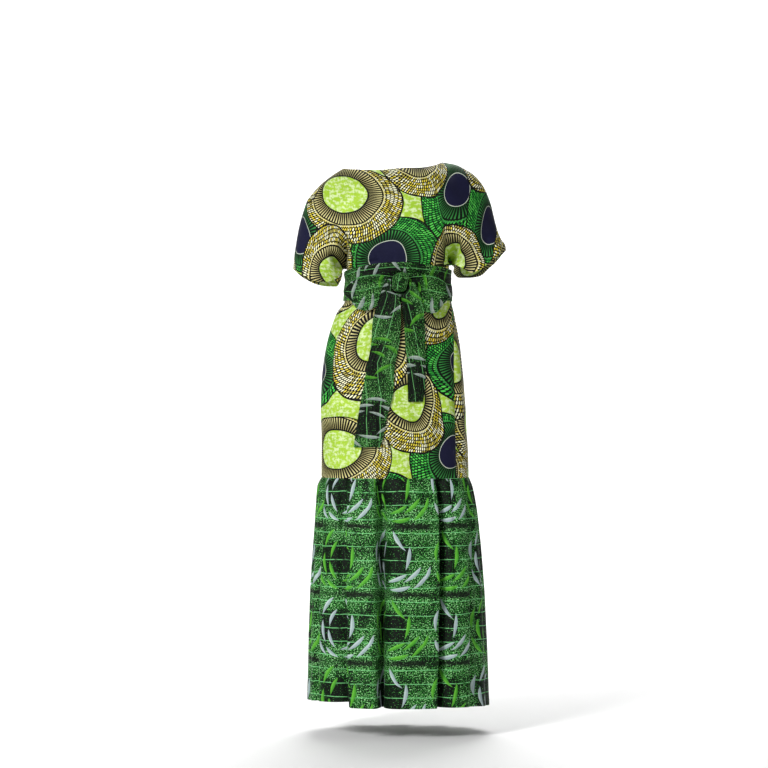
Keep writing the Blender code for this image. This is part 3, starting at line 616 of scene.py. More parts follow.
def edge_distance(p, edge):
    """Distance of each grid point from one edge, along the cloth."""
    q = from_edge(p, edge)
    steps = np.linalg.norm(np.diff(q, axis=0), axis=-1)
    d = np.concatenate([np.zeros((1, q.shape[1])), np.cumsum(steps, 0)])
    if edge.startswith("last"):
        d = d[::-1]
    return np.swapaxes(d, 0, 1) if edge.endswith("col") else d


def line_at(p, n, edge, distance):
    """The line on a grid a set distance from an edge, and the normals along it."""
    d = from_edge(edge_distance(p, edge), edge)
    pick = [int(np.searchsorted(column, distance)) for column in d.T]
    every = np.arange(len(pick))
    return from_edge(p, edge)[pick, every], from_edge(n, edge)[pick, every]


# Meshes
def shell(name, p, uv, reference, materials, around=False, hems=(), seams=(), shared=None):
    """Closed thin cloth round a grid of middle points. hems are turned up, seams sink a little.

    shared gives an edge the outward directions that the piece beside it has too.
    """
    n = outward_normals(p, reference, around)
    ends = {"first_col": (slice(None), 0), "last_col": (slice(None), -1)}
    for which, directions in (shared or {}).items():
        n[ends[which]] = directions
    outer_by = np.full(p.shape[:2], CLOTH / 2)
    inner_by = np.full(p.shape[:2], CLOTH / 2)
    for which in hems:
        turned = smooth_step((HEM_TURN - edge_distance(p, which)) / HEM_SOFT)
        outer_by = outer_by + HEM_RAISE * 0.5 * turned
        inner_by = inner_by + HEM_RAISE * turned
    for which in seams:
        sink = np.exp(-((edge_distance(p, which) / SEAM_WIDE) ** 2))
        outer_by = outer_by - SEAM_SINK * sink
        inner_by = inner_by + SEAM_SINK * sink
    outer = p + n * outer_by[..., None]
    inner = p - n * inner_by[..., None]
    rows, cols = p.shape[:2]
    kept = cols - 1 if around else cols
    points = np.concatenate([outer[:, :kept].reshape(-1, 3), inner[:, :kept].reshape(-1, 3)])
    base = rows * kept
    quads = []
    maps = []
    slots = []

    def add_faces(corners, backwards, slot=0):
        """Faces whose corners are given as arrays of rows and columns, and a layer."""
        quad = np.stack([layer * base + a * kept + b % kept for a, b, layer in corners], 1)
        place = np.stack([uv[a, b] for a, b, layer in corners], 1)
        quads.append(quad[:, ::-1] if backwards else quad)
        maps.append(place[:, ::-1] if backwards else place)
        slots.append(np.full(len(quad), slot))

    down, along = np.meshgrid(np.arange(rows - 1), np.arange(cols - 1), indexing="ij")
    i = down.ravel()
    j = along.ravel()
    for layer in (0, 1):
        corners = [(i, j, layer), (i + 1, j, layer), (i + 1, j + 1, layer), (i, j + 1, layer)]
        add_faces(corners, layer == 1, layer)
    j = np.arange(cols - 1)
    for row in (0, rows - 1):
        i = np.full(cols - 1, row)
        add_faces([(i, j, 0), (i, j + 1, 0), (i, j + 1, 1), (i, j, 1)], row > 0)
    i = np.arange(rows - 1)
    for col in () if around else (0, cols - 1):
        j = np.full(rows - 1, col)
        add_faces([(i, j, 0), (i + 1, j, 0), (i + 1, j, 1), (i, j, 1)], col == 0)
    quads = np.concatenate(quads)
    maps = np.concatenate(maps)
    slots = np.concatenate(slots)
    a, b, c = points[quads[0, :3]]
    facing = np.dot(np.cross(b - a, c - b), n.reshape(-1, 3)[0])
    if facing < 0:
        quads = quads[:, ::-1]
        maps = maps[:, ::-1]
    return add_mesh(name, points, quads, maps, slots, materials)


def add_mesh(name, points, quads, maps, slots, materials):
    mesh = bpy.data.meshes.new(name)
    mesh.vertices.add(len(points))
    mesh.vertices.foreach_set("co", np.ascontiguousarray(points, np.float32).ravel())
    mesh.loops.add(quads.size)
    mesh.loops.foreach_set("vertex_index", np.ascontiguousarray(quads, np.int32).ravel())
    mesh.polygons.add(len(quads))
    sides = quads.shape[1]
    mesh.polygons.foreach_set("loop_start", np.arange(0, quads.size, sides, dtype=np.int32))
    mesh.polygons.foreach_set("material_index", np.asarray(slots, np.int32))
    mesh.polygons.foreach_set("use_smooth", np.ones(len(quads), bool))
    if maps is not None:
        layer = mesh.uv_layers.new(name="cloth")
        layer.uv.foreach_set("vector", np.ascontiguousarray(maps, np.float32).ravel())
    mesh.update(calc_edges=True)
    mesh.validate()
    mesh.set_sharp_from_angle(angle=math.radians(62))
    for m in materials:
        mesh.materials.append(m)
    thing = bpy.data.objects.new(name, mesh)
    bpy.context.scene.collection.objects.link(thing)
    return thing


def tube_bits(name, starts, ends, radius, material):
    """Many short rounded threads in one mesh."""
    sides = 5
    direction = ends - starts
    length = np.linalg.norm(direction, axis=1, keepdims=True)
    direction = direction / np.maximum(length, 1e-9)
    helper = np.where(np.abs(direction[:, 2:3]) < 0.9, (0.0, 0.0, 1.0), (1.0, 0.0, 0.0))
    side = np.cross(direction, helper)
    side /= np.linalg.norm(side, axis=1, keepdims=True)
    other = np.cross(direction, side)
    rings = []
    for share, wide in ((0.0, 0.35), (0.18, 1.0), (0.82, 1.0), (1.0, 0.35)):
        for k in range(sides):
            a = 2 * math.pi * k / sides
            spoke = side * math.cos(a) + other * math.sin(a)
            rings.append(starts + direction * length * share + spoke * radius * wide)
    points = np.stack(rings, 1).reshape(-1, 3)
    per = 4 * sides
    quads = []
    for ring in range(3):
        for k in range(sides):
            a = ring * sides + k
            b = ring * sides + (k + 1) % sides
            quads.append((a, b, b + sides, a + sides))
    quads = np.array(quads)
    every = (np.arange(len(starts))[:, None, None] * per + quads[None]).reshape(-1, 4)
    return add_mesh(name, points, every, None, np.zeros(len(every), int), [material])


def stitches_along(line, out):
    """Ends of the stitches of a seam that follows a line of points, lifted by out."""
    line = line + out
    run = run_along(line)
    at = np.arange(0.002, run[-1] - 0.004, STITCH_PITCH)
    starts = np.stack([np.interp(at, run, line[:, k]) for k in range(3)], 1)
    ends = np.stack([np.interp(at + STITCH_PITCH * STITCH_SHARE, run, line[:, k]) for k in range(3)], 1)
    return starts, ends


def edge_stitches(p, n, edges, distance, lift):
    """The stitches beside each of the edges named."""
    threads = []
    for edge in edges:
        line, normal = line_at(p, n, edge, distance)
        threads.append(stitches_along(line, normal * (CLOTH / 2 + lift)))
    return threads


# Shader arithmetic
def srgb(text):
    """A colour written as hexadecimal, as the linear numbers shaders use."""
    parts = [int(text[k : k + 2], 16) / 255 for k in (0, 2, 4)]
    return tuple(c / 12.92 if c <= 0.04045 else ((c + 0.055) / 1.055) ** 2.4 for c in parts) + (1.0,)


class Value:
    """A shader value that can be written as arithmetic."""

    def __init__(self, tree, socket):
        self.tree = tree
        self.socket = socket

    def op(self, operation, *others):
        node = self.tree.nodes.new("ShaderNodeMath")
        node.operation = operation
        for k, value in enumerate((self, *others)):
            put(self.tree, node.inputs[k], value)
        return Value(self.tree, node.outputs[0])

    def __add__(self, other):
        return self.op("ADD", other)

    def __sub__(self, other):
        return self.op("SUBTRACT", other)

    def __mul__(self, other):
        return self.op("MULTIPLY", other)

    def __truediv__(self, other):
        return self.op("DIVIDE", other)

    def less(self, other):
        return self.op("LESS_THAN", other)

    def more(self, other):
        return self.op("GREATER_THAN", other)

    def floor(self):
        return self.op("FLOOR")

    def fract(self):
        return self.op("FRACT")

    def abs(self):
        return self.op("ABSOLUTE")

    def step(self, low, high):
        """0 below low, 1 above high, smooth between."""
        node = self.tree.nodes.new("ShaderNodeMapRange")
        node.interpolation_type = "SMOOTHSTEP"
        put(self.tree, node.inputs[0], self)
        node.inputs[1].default_value = low
        node.inputs[2].default_value = high
        return Value(self.tree, node.outputs[0])


def put(tree, socket, value):
    if isinstance(value, Value):
        tree.links.new(value.socket, socket)
    elif isinstance(value, bpy.types.NodeSocket):
        tree.links.new(value, socket)
    else:
        socket.default_value = value


def mix(tree, share, low, high, way="MIX"):
    """Colour between low and high."""
    node = tree.nodes.new("ShaderNodeMix")
    node.data_type = "RGBA"
    node.blend_type = way
    put(tree, node.inputs[0], share)
    put(tree, node.inputs[6], low)
    put(tree, node.inputs[7], high)
    return node.outputs[2]


def noise(tree, vector, scale, detail=2.0, rough=0.5):
    node = tree.nodes.new("ShaderNodeTexNoise")
    node.noise_dimensions = "2D"
    put(tree, node.inputs["Vector"], vector)
    node.inputs["Scale"].default_value = scale
    node.inputs["Detail"].default_value = detail
    node.inputs["Roughness"].default_value = rough
    return Value(tree, node.outputs["Fac"])


def vector_of(tree, x, y, z=0.0):
    node = tree.nodes.new("ShaderNodeCombineXYZ")
    for k, value in enumerate((x, y, z)):
        put(tree, node.inputs[k], value)
    return node.outputs[0]


def hash_of(tree, x, y, z=0.0):
    node = tree.nodes.new("ShaderNodeTexWhiteNoise")
    node.noise_dimensions = "3D"
    put(tree, node.inputs["Vector"], vector_of(tree, x, y, z))
    return Value(tree, node.outputs["Value"])


def parts_of(tree, vector):
    node = tree.nodes.new("ShaderNodeSeparateXYZ")
    put(tree, node.inputs[0], vector)
    return Value(tree, node.outputs[0]), Value(tree, node.outputs[1])


def along_and_across(x, y, degrees):
    """Distances along and across a direction."""
    c = math.cos(math.radians(degrees))
    s = math.sin(math.radians(degrees))
    return x * c + y * s, y * c - x * s


def print_group(name):
    tree = bpy.data.node_groups.new(name, "ShaderNodeTree")
    tree.interface.new_socket("Vector", in_out="INPUT", socket_type="NodeSocketVector")
    tree.interface.new_socket("Color", in_out="OUTPUT", socket_type="NodeSocketColor")
    source = tree.nodes.new("NodeGroupInput")
    sink = tree.nodes.new("NodeGroupOutput")
    return tree, source.outputs[0], sink.inputs[0]


# Oval print
LIME = srgb("9DC038")
DEEP_LIME = srgb("7CA41E")
PALE = srgb("CFDDAC")
BLACK = srgb("080706")
NAVY = srgb("14152F")
OUTLINE = srgb("C3CDBB")
TILE = (0.58, 0.64)  # one repeat of the print, across and down

# Palettes: ground of the crescent, three grain colours, ground of the rays, rays inside, rays outside
GOLD = [srgb(text) for text in "070603 DCCB3E EFEFC8 AFA552 060503 98905A CAC386".split()]
GREEN = [srgb(text) for text in "03100A 33A83A 56CC50 228430 040905 1D5A29 35863E".split()]
RAY_PITCH = 0.0068
GRAIN_PITCH = 0.0065  # round the oval
GRAIN_STEP = 0.0094  # outwards

# Ovals in one repeat, lowest layer first: palette, x, y, angle, half-length, width share,
# egg, centre along, centre across, centre share, ray ring
OVALS = (
    ("green", 0.170, -0.105, 112, 0.128, 0.84, 0.16, 0.18, -0.12, 0.33, 1.75),
    ("gold", 0.055, 0.022, -58, 0.118, 0.78, 0.10, -0.16, 0.10, 0.42, 1.56),
    ("green", -0.235, 0.150, 130, 0.120, 0.80, 0.20, -0.14, 0.12, 0.34, 1.80),
    ("gold", -0.055, 0.185, 82, 0.140, 0.76, 0.12, 0.20, -0.10, 0.42, 1.50),
    ("green", 0.205, 0.175, 64, 0.126, 0.82, 0.18, -0.18, -0.10, 0.31, 1.86),
    ("green", -0.285, -0.165, 96, 0.122, 0.84, 0.14, -0.20, 0.06, 0.36, 1.72),
    ("green", -0.005, -0.232, 8, 0.118, 0.90, 0.10, -0.14, -0.04, 0.42, 1.66),
    ("gold", -0.128, -0.092, -4, 0.150, 0.70, 0.08, -0.06, 0.12, 0.45, 1.56),
    ("gold", 0.168, -0.262, 108, 0.100, 0.86, 0.18, 0.10, 0.08, 0.44, 1.60),
    ("gold", -0.196, -0.262, 72, 0.106, 0.82, 0.14, -0.10, -0.10, 0.42, 1.62),
    ("gold", 0.118, 0.290, 24, 0.108, 0.84, 0.12, 0.16, 0.10, 0.43, 1.54),
    ("gold", 0.285, -0.020, 84, 0.092, 0.84, 0.16, 0.10, -0.12, 0.43, 1.56),
)


def mottled_ground(tree, vector):
    """Lime dye with pale crackle in it."""
    x, y = parts_of(tree, vector)
    streaks = noise(tree, vector_of(tree, x * 54.0, y * 140.0), 1.0, 3.0, 0.62)
    blots = noise(tree, vector_of(tree, x * 130.0, y * 84.0), 1.0, 2.0, 0.6)
    pale = (streaks * 0.58 + blots * 0.46).step(0.48, 0.62)
    deep = noise(tree, vector, 21.0, 2.0).step(0.35, 0.75)
    lime = mix(tree, deep * 0.40, LIME, DEEP_LIME)
    return mix(tree, pale * 0.80, lime, PALE)


def oval(tree, x, y, under, row, ground):
    """One oval of the print laid over the colour under it."""
    kind, cx, cy, angle, size, wide, egg, ex, ey, share, rim = row
    field, dash_a, dash_b, dash_c, ring, ray_in, ray_out = GOLD if kind == "gold" else GREEN
    dx = (x - cx).op("WRAP", TILE[0] / 2, -TILE[0] / 2)
    dy = (y - cy).op("WRAP", TILE[1] / 2, -TILE[1] / 2)
    lengthwise, crosswise = along_and_across(dx, dy, angle)
    qx = lengthwise / size
    qy = crosswise / (size * wide)
    outer = (qx * qx + (qy * (qx * egg + 1.0)).op("POWER", 2.0)).op("SQRT")
    ix = (qx - ex) / share
    iy = (qy * wide - ey) / (share * (0.35 + 0.65 * wide))
    iy = iy * (ix * (egg * 1.3) + 1.0)
    inner = (ix * ix + iy * iy).op("SQRT")
    turn = iy.op("ARCTAN2", ix) / (2 * math.pi) + 0.5
    unit = share * size  # metres for one step of inner
    reach = inner.step(1.0, rim)
    rays = round(2 * math.pi * unit * (1 + rim) / 2 / RAY_PITCH)
    ray = ((turn * rays).fract() - 0.5).abs().less(reach * 0.09 + 0.12)
    ray_colour = mix(tree, reach, ray_in, ray_out)
    ray_field = mix(tree, ray, ring, ray_colour)
    fine = 1.0 if kind == "gold" else 0.94
    step = GRAIN_STEP * fine
    pitch = GRAIN_PITCH * fine
    depth = (inner - rim) * (unit / step)
    level = depth.floor()
    many = ((level * step + rim * unit) * (2 * math.pi / pitch)).floor()
    grow = depth.fract() - 0.5
    spread = turn * many + (level * 0.43).fract() + grow * 0.60
    column = spread.floor()
    pick = hash_of(tree, column, level, cx * 10)
    across = (spread.fract() - 0.5) / 0.27
    along = grow / (pick * 0.10 + 0.36)
    dash = (across * across + along * along * along.abs()).less(1.0)
    vein = noise(tree, vector_of(tree, turn * 26.0, inner * 2.4), 1.0, 2.0)
    tone = pick * 0.55 + vein * 0.6
    dash_colour = mix(tree, tone.more(0.62), dash_a, dash_b)
    dash_colour = mix(tree, tone.less(0.44), dash_colour, dash_c)
    field_colour = mix(tree, dash, field, dash_colour)
    line = 0.0019 / unit
    colour = mix(tree, inner.less(rim), field_colour, ray_field)
    colour = mix(tree, (inner - rim).abs().less(line), colour, ring)
    colour = mix(tree, (inner - rim - line * 2.1).abs().less(line * 0.7), colour, ray_out)
    if kind == "gold":
        colour = mix(tree, inner.less(1.0), colour, ground)
        colour = mix(tree, (inner - 1.0).abs().less(line * 1.2), colour, BLACK)
    else:
        colour = mix(tree, inner.less(1.0), colour, NAVY)
        colour = mix(tree, (inner - 1.0).abs().less(line * 0.42), colour, OUTLINE)
    colour = mix(tree, outer.more(1 - 0.0044 / size), colour, BLACK)
    return mix(tree, outer.less(1.0), under, colour)


def oval_print():
    tree, vector, out = print_group("oval_print")
    x, y = parts_of(tree, vector)
    bend_x = noise(tree, vector, 7.0, 1.0) - 0.5
    bend_y = noise(tree, vector_of(tree, y + 3.7, x - 1.9), 7.0, 1.0) - 0.5
    x = x + bend_x * 0.030
    y = y + bend_y * 0.030
    ground = mottled_ground(tree, vector)
    colour = ground
    for row in OVALS:
        colour = oval(tree, x, y, colour, row, ground)
    tree.links.new(colour, out)
    return tree


# Leaf print
LEAF_CELL = (0.196, 0.173)  # a wreath's room, across and down
# Leaves of one broken wreath: x, y, angle, half-length, half-width, bow
WREATH = (
    (-0.045, 0.054, 56, 0.029, 0.0056, 0.005), (-0.030, 0.026, 66, 0.024, 0.0050, 0.004),
    (-0.076, 0.022, 82, 0.028, 0.0056, 0.005), (-0.056, -0.010, 99, 0.029, 0.0056, 0.005),
    (-0.033, -0.028, 113, 0.026, 0.0052, 0.004), (-0.066, -0.048, 126, 0.027, 0.0056, 0.004),
    (-0.034, -0.062, 144, 0.021, 0.0050, 0.003), (0.019, 0.050, 125, 0.031, 0.0056, 0.004),
    (0.040, 0.006, 81, 0.031, 0.0058, -0.004), (0.014, -0.045, 24, 0.027, 0.0056, -0.003),
    (0.052, -0.035, 42, 0.030, 0.0058, -0.004), (0.072, -0.052, 47, 0.028, 0.0056, -0.004),
    (0.088, -0.034, 66, 0.023, 0.0050, -0.003), (0.022, -0.069, 10, 0.027, 0.0058, -0.004),
)
SILVER = (srgb("8C9EA4"), srgb("B4C3C4"))
LIME_LEAF = (srgb("37881F"), srgb("60B236"))
MIDRIB = srgb("2A5A34")
INK = srgb("010502")
GROUND = srgb("0A3410")
SPECKS = srgb("33992F")
PALE_SPECKS = srgb("9FD898")
WORN_LINE = srgb("6FBF78")
BLOCK = srgb("020603")


def wreath_leaves(tree, x, y, colour, parity):
    """The leaves of one wreath, silver and lime by turns."""
    for lx, ly, angle, long, half, bow in WREATH:
        lengthwise, crosswise = along_and_across(x - lx, y - ly, angle)
        along = lengthwise / long
        square = along * along
        across = crosswise + (square - 1.0) * bow
        width = (square * -1.0 + 1.0) * (along * 0.25 + 1.0) * half * 0.86
        leaf = across.abs().less(width) * square.less(1.0)
        shade = (across / half * 0.7 + 0.55).step(0.0, 1.0)
        tint = mix(tree, parity, mix(tree, shade, *SILVER), mix(tree, shade, *LIME_LEAF))
        tint = mix(tree, across.abs().less(0.0004) * 0.35, tint, MIDRIB)
        colour = mix(tree, leaf * 0.92, colour, tint)
    return colour


def leaf_print():
    """Speckled green with worn pale lines, a dark block in each cell and a broken wreath round it."""
    tree, vector, out = print_group("leaf_print")
    x, y = parts_of(tree, vector)
    sway = noise(tree, vector, 8.0, 1.0) - 0.5
    x = x + sway * 0.012
    y = y + (noise(tree, vector_of(tree, y + 1.3, x + 4.1), 8.0, 1.0) - 0.5) * 0.006
    wide, high = LEAF_CELL
    cell_x = (x / wide + 0.5).floor()
    cell_y = (y / high + 0.5).floor()
    parity = ((cell_x + cell_y) * 0.5).fract().more(0.25)
    px = x.op("WRAP", wide / 2, -wide / 2)
    py = y.op("WRAP", high / 2, -high / 2)
    speck = noise(tree, vector, 430.0, 1.0, 0.6)
    grain = noise(tree, vector_of(tree, x * 235.0, y * 300.0), 1.0, 2.0, 0.7)
    cloud = noise(tree, vector_of(tree, x * 22.0, y * 15.0), 1.0, 2.0)
    ragged = (noise(tree, vector_of(tree, x * 46.0, y * 120.0), 1.0, 2.0) - 0.5) * 0.044
    block_x = ((px + 0.014) + ragged).abs().step(0.068, 0.040)
    block_y = ((py - 0.002) + ragged * 0.5).abs().step(0.050, 0.030)
    low_x = ((px - 0.072) + ragged).abs().step(0.034, 0.010)
    low_y = ((py - 0.034) + ragged * 0.5).abs().step(0.030, 0.010)
    dark = block_x * block_y + low_x * low_y * 0.35 + cloud.step(0.52, 0.72) * 0.5
    dark = dark.op("MINIMUM", 1.0)
    ink = grain * 0.55 + speck * 0.45 - dark * 0.122
    colour = mix(tree, ink.step(0.43, 0.50), INK, GROUND)
    colour = mix(tree, ink.step(0.515, 0.540), colour, SPECKS)
    colour = mix(tree, ink.step(0.575, 0.600), colour, PALE_SPECKS)
    waver = (noise(tree, vector_of(tree, x * 14.0, y * 3.0), 1.0, 2.0) - 0.5) * 0.0050
    rule = (((y + waver) / (high / 5) + 0.5).fract() - 0.5).abs().less(0.027)
    kept = noise(tree, vector_of(tree, x * 70.0, y * 24.0), 1.0, 1.0).step(0.30, 0.46) * 0.75 + 0.20
    colour = mix(tree, rule * kept, colour, WORN_LINE)
    edge = py.abs() * -1.0 + high / 2 + waver * 1.4 + (grain - 0.5) * 0.016 + ragged * 0.10
    strength = ((px - 0.056) + ragged).abs().step(0.080, 0.030) * 0.55 + 0.38
    colour = mix(tree, edge.step(0.0120, 0.0035) * strength, colour, BLOCK)
    colour = wreath_leaves(tree, px, py, colour, parity)
    tree.links.new(colour, out)
    return tree


# Materials
THREAD = 0.00062  # from one yarn to the next but one
WEAVE_DEEP = 0.00003
CRUMPLE_DEEP = 0.0011
SASH_CREASE = 0.022
WEAR = srgb("5C6648")
WRONG_SIDE = srgb("6F7A5C")
# Painted shade: multiplied into the sash's colour all over, for the folds of the tied cloth
SASH_SHADE = srgb("D4D4C6")


def new_material(name):
    m = bpy.data.materials.new(name)
    m.use_nodes = True
    return m, m.node_tree, m.node_tree.nodes["Principled BSDF"]


def cloth_material(name, group, inside, creases_and_painted_shade=0.0):
    """Printed plain-weave cotton: crisp, with a slight wax shine. The wrong side is a little duller.

    The last argument is the height of the lengthwise creases of cloth that is tied; when it is set, the
    colour is also multiplied all over by SASH_SHADE, painted shade for the folds.
    """
    m, tree, shader = new_material(name)
    place = tree.nodes.new("ShaderNodeUVMap")
    place.uv_map = "cloth"
    picture = tree.nodes.new("ShaderNodeGroup")
    picture.node_tree = group
    tree.links.new(place.outputs[0], picture.inputs[0])
    x, y = parts_of(tree, place.outputs[0])
    warp = (x * (2 * math.pi / THREAD)).op("SINE")
    weft = (y * (2 * math.pi / THREAD)).op("SINE")
    weave = warp * weft
    cloudy = noise(tree, place.outputs[0], 26.0, 3.0)
    wear_and_painted_shade = mix(tree, cloudy.step(0.3, 0.75) * 0.10, picture.outputs[0], WEAR, "MULTIPLY")
    if inside:
        wear_and_painted_shade = mix(tree, 0.16, wear_and_painted_shade, WRONG_SIDE)
    # Tied cloth: painted shade, the colour darkened all over by SASH_SHADE for its folds
    if creases_and_painted_shade:
        wear_and_painted_shade = mix(tree, 1.0, wear_and_painted_shade, SASH_SHADE, "MULTIPLY")
    put(tree, shader.inputs["Base Color"], wear_and_painted_shade)
    rough = noise(tree, place.outputs[0], 90.0, 2.0) * 0.16 + 0.54
    put(tree, shader.inputs["Roughness"], rough)
    shader.inputs["Specular IOR Level"].default_value = 0.12
    shader.inputs["Sheen Weight"].default_value = 0.015
    shader.inputs["Sheen Roughness"].default_value = 0.45
    crumple = noise(tree, place.outputs[0], 34.0, 3.0, 0.55)
    height = weave * WEAVE_DEEP + crumple * CRUMPLE_DEEP
    if creases_and_painted_shade:
        drawn = noise(tree, vector_of(tree, x * 7.0 + y * 5.0, y * 62.0), 1.0, 2.0, 0.55)
        height = height + (drawn - 0.5).abs() * creases_and_painted_shade
    bump = tree.nodes.new("ShaderNodeBump")
    bump.inputs["Strength"].default_value = 0.55
    bump.inputs["Distance"].default_value = 1.0
    put(tree, bump.inputs["Height"], height)
    tree.links.new(bump.outputs[0], shader.inputs["Normal"])
    return m


def thread_material(name, colour):
    m, tree, shader = new_material(name)
    where = tree.nodes.new("ShaderNodeTexCoord")
    grain = noise(tree, where.outputs["Object"], 2400.0, 1.0)
    tint = mix(tree, grain, colour, tuple(c * 0.6 for c in colour[:3]) + (1.0,))
    put(tree, shader.inputs["Base Color"], tint)
    shader.inputs["Roughness"].default_value = 0.6
    return m


def cloth_sides(name, group, creases_and_painted_shade=0.0):
    """Materials of the right side and the wrong side."""
    return [
        cloth_material(name + "_right_side", group, False, creases_and_painted_shade),
        cloth_material(name + "_wrong_side", group, True, creases_and_painted_shade),
    ]


LEAF_PRINT = leaf_print()
OVAL_CLOTH = cloth_sides("oval_print", oval_print())
LEAF_CLOTH = cloth_sides("leaf_print", LEAF_PRINT)
# The sash's materials carry painted shade for its folds, besides the crease bump
SASH_CLOTH = cloth_sides("sash_print", LEAF_PRINT, SASH_CREASE)
THREAD_LIGHT = thread_material("thread_olive", srgb("5E6B2A"))
THREAD_DARK = thread_material("thread_green", srgb("16401E"))


def wear(piece, nodes=()):
    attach(piece, "root")
    if nodes:
        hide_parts(*nodes)
    return piece


def sew(name, threads, radius, material):
    """All the stitches of some edges as one piece."""
    starts = np.concatenate([a for a, b in threads])
    ends = np.concatenate([b for a, b in threads])
    wear(tube_bits(name, starts, ends, radius, material))


def uneven(x, z, seed, tall, wide, low, narrow):
    """Two sizes of unevenness: tall and low are their heights, wide and narrow their cells."""
    coarse = tall * soft_noise(x + 1, z, seed, wide)
    return coarse + low * soft_noise(x + 2, z, seed + 1, narrow)


# Bodice
SLEEVE_COLUMNS = 64
BODY_COLUMNS = 104
BODICE_ROWS = 122


def build_bodice():
    sleeve = lobe_columns(-1, -0.5, SLEEVE_COLUMNS)
    body = lobe_columns(-0.5, 0.5, BODY_COLUMNS)
    u = np.concatenate([sleeve, body[1:], -sleeve[-2::-1]])
    v = np.linspace(0, 1, BODICE_ROWS + 1)
    uu, vv = np.meshgrid(u, v)
    threads = []
    for side, creases, seed in (("front", CREASES_FRONT, 11), ("back", CREASES_BACK, 23)):
        p = bodice_points(side, uu, vv)
        n = outward_normals(p, from_axis(p))
        x = p[..., 0]
        z = p[..., 2]
        ease = smooth_step((1 - np.abs(uu)) / 0.06)
        under = smooth_step((-0.236 - z) / 0.010) * (np.abs(uu) < 0.5)
        push = crease_depth(x, z, creases) + uneven(x, z + 1, seed, 0.0011, 0.055, 0.0005, 0.024)
        push *= ease * (1 - 0.85 * under)
        push = np.where(under > 0.5, np.minimum(push, 0.0004), push)
        p = p + n * push[..., None]
        middle = len(u) // 2
        plain = bodice_points(side, uu, vv, sunken=False)
        run = edge_distance(plain, "first_col")
        run = run - run[:, middle : middle + 1]
        fall = edge_distance(plain, "first_row")
        level = -(0.45 * fall - 0.55 * (z - p[0, :, 2][None]))
        flip = 1 if side == "front" else -1
        shift = (0.0, 0.0) if side == "front" else (0.05, -0.02)
        uv = np.stack([flip * run + shift[0], level + shift[1]], -1)
        piece = shell(
            "bodice_" + side + "_cloth", p, uv, from_axis(p), OVAL_CLOTH,
            hems=("first_row", "last_row"), seams=("first_col", "last_col"),
        )
        wear(piece, ["bodice_" + side])
        n = outward_normals(p, from_axis(p))
        threads += edge_stitches(p, n, ["first_row"], HEM_STITCH, STITCH_LIFT)
        line, normal = line_at(p, n, "last_row", HEM_STITCH)
        for part in (u < -SLEEVE_FROM, u > SLEEVE_FROM):
            threads.append(stitches_along(line[part], normal[part] * (CLOTH / 2 + STITCH_LIFT)))
    sew("bodice_hem_stitches", threads, STITCH_THICK, THREAD_LIGHT)


def panel_area(p):
    a = np.linalg.norm(np.cross(p[1:, :-1] - p[:-1, :-1], p[:-1, 1:] - p[:-1, :-1]), axis=-1)
    b = np.linalg.norm(np.cross(p[1:, :-1] - p[1:, 1:], p[:-1, 1:] - p[1:, 1:]), axis=-1)
    return (a.sum() + b.sum()) / 2


# Skirt
SKIRT_ROWS = 150
SKIRT_PRINT_ROW = 84  # the row whose length the print is laid out on


def build_skirt():
    z = np.linspace(WAIST_Z - SEAM_GAP, FLOUNCE_Z, SKIRT_ROWS + 1)
    seam = skirt_seam_normals(z)
    # Side, points across, creases, seed, place of the print, the seam that hangs forward, width cut
    panels = (
        ("front", 131, CREASES_SKIRT_FRONT, 31, (0.03, 0.055), "last_col", 0.46),
        ("back", 175, CREASES_SKIRT_BACK, 43, (0.30, 0.11), "first_col", 0.62),
    )
    for side, columns, creases, seed, shift, seam_edge, wide in panels:
        ss, zz = np.meshgrid(np.linspace(0, 1, columns), z)
        p = skirt_points(side, ss, zz)
        n = outward_normals(p, from_axis(p))
        x = p[..., 0]
        edge = np.minimum(ss, 1 - ss)
        ease = smooth_step(edge / 0.05)
        under = smooth_step((zz + 0.355) / 0.012)
        push = crease_depth(x, zz, creases) + uneven(x, zz + 2, seed, 0.0010, 0.070, 0.0004, 0.028)
        p = p + n * (push * (1 - under) * ease)[..., None]
        run = run_along(p[SKIRT_PRINT_ROW])
        own = 0.6 * np.linalg.norm(np.diff(p, axis=1), axis=-1).sum(1) / run[-1] + 0.4
        run = run - run[np.argmin(np.abs(p[SKIRT_PRINT_ROW, :, 0]))]
        place = run[None, :] * own[:, None] + shift[0]
        uv = np.stack([place, zz - z[0] - 0.33 + shift[1]], -1)
        piece = shell(
            "skirt_" + side + "_cloth", p, uv, from_axis(p), OVAL_CLOTH,
            seams=("first_col", "last_col", "last_row"), shared={seam_edge: seam},
        )
        wear(piece, ["skirt_" + side])
        area = round(float(panel_area(p)) * 1.02, 4)


# Flounce
FLOUNCE_COLUMNS = 346
FLOUNCE_PRINT_ROW = 63
HEAD = 0.103  # share of the fall below the seam, which has closer rows
HEAD_ROWS = 30
LOWER_ROWS = 82
FLOUNCE_FALL = 0.58  # as hung


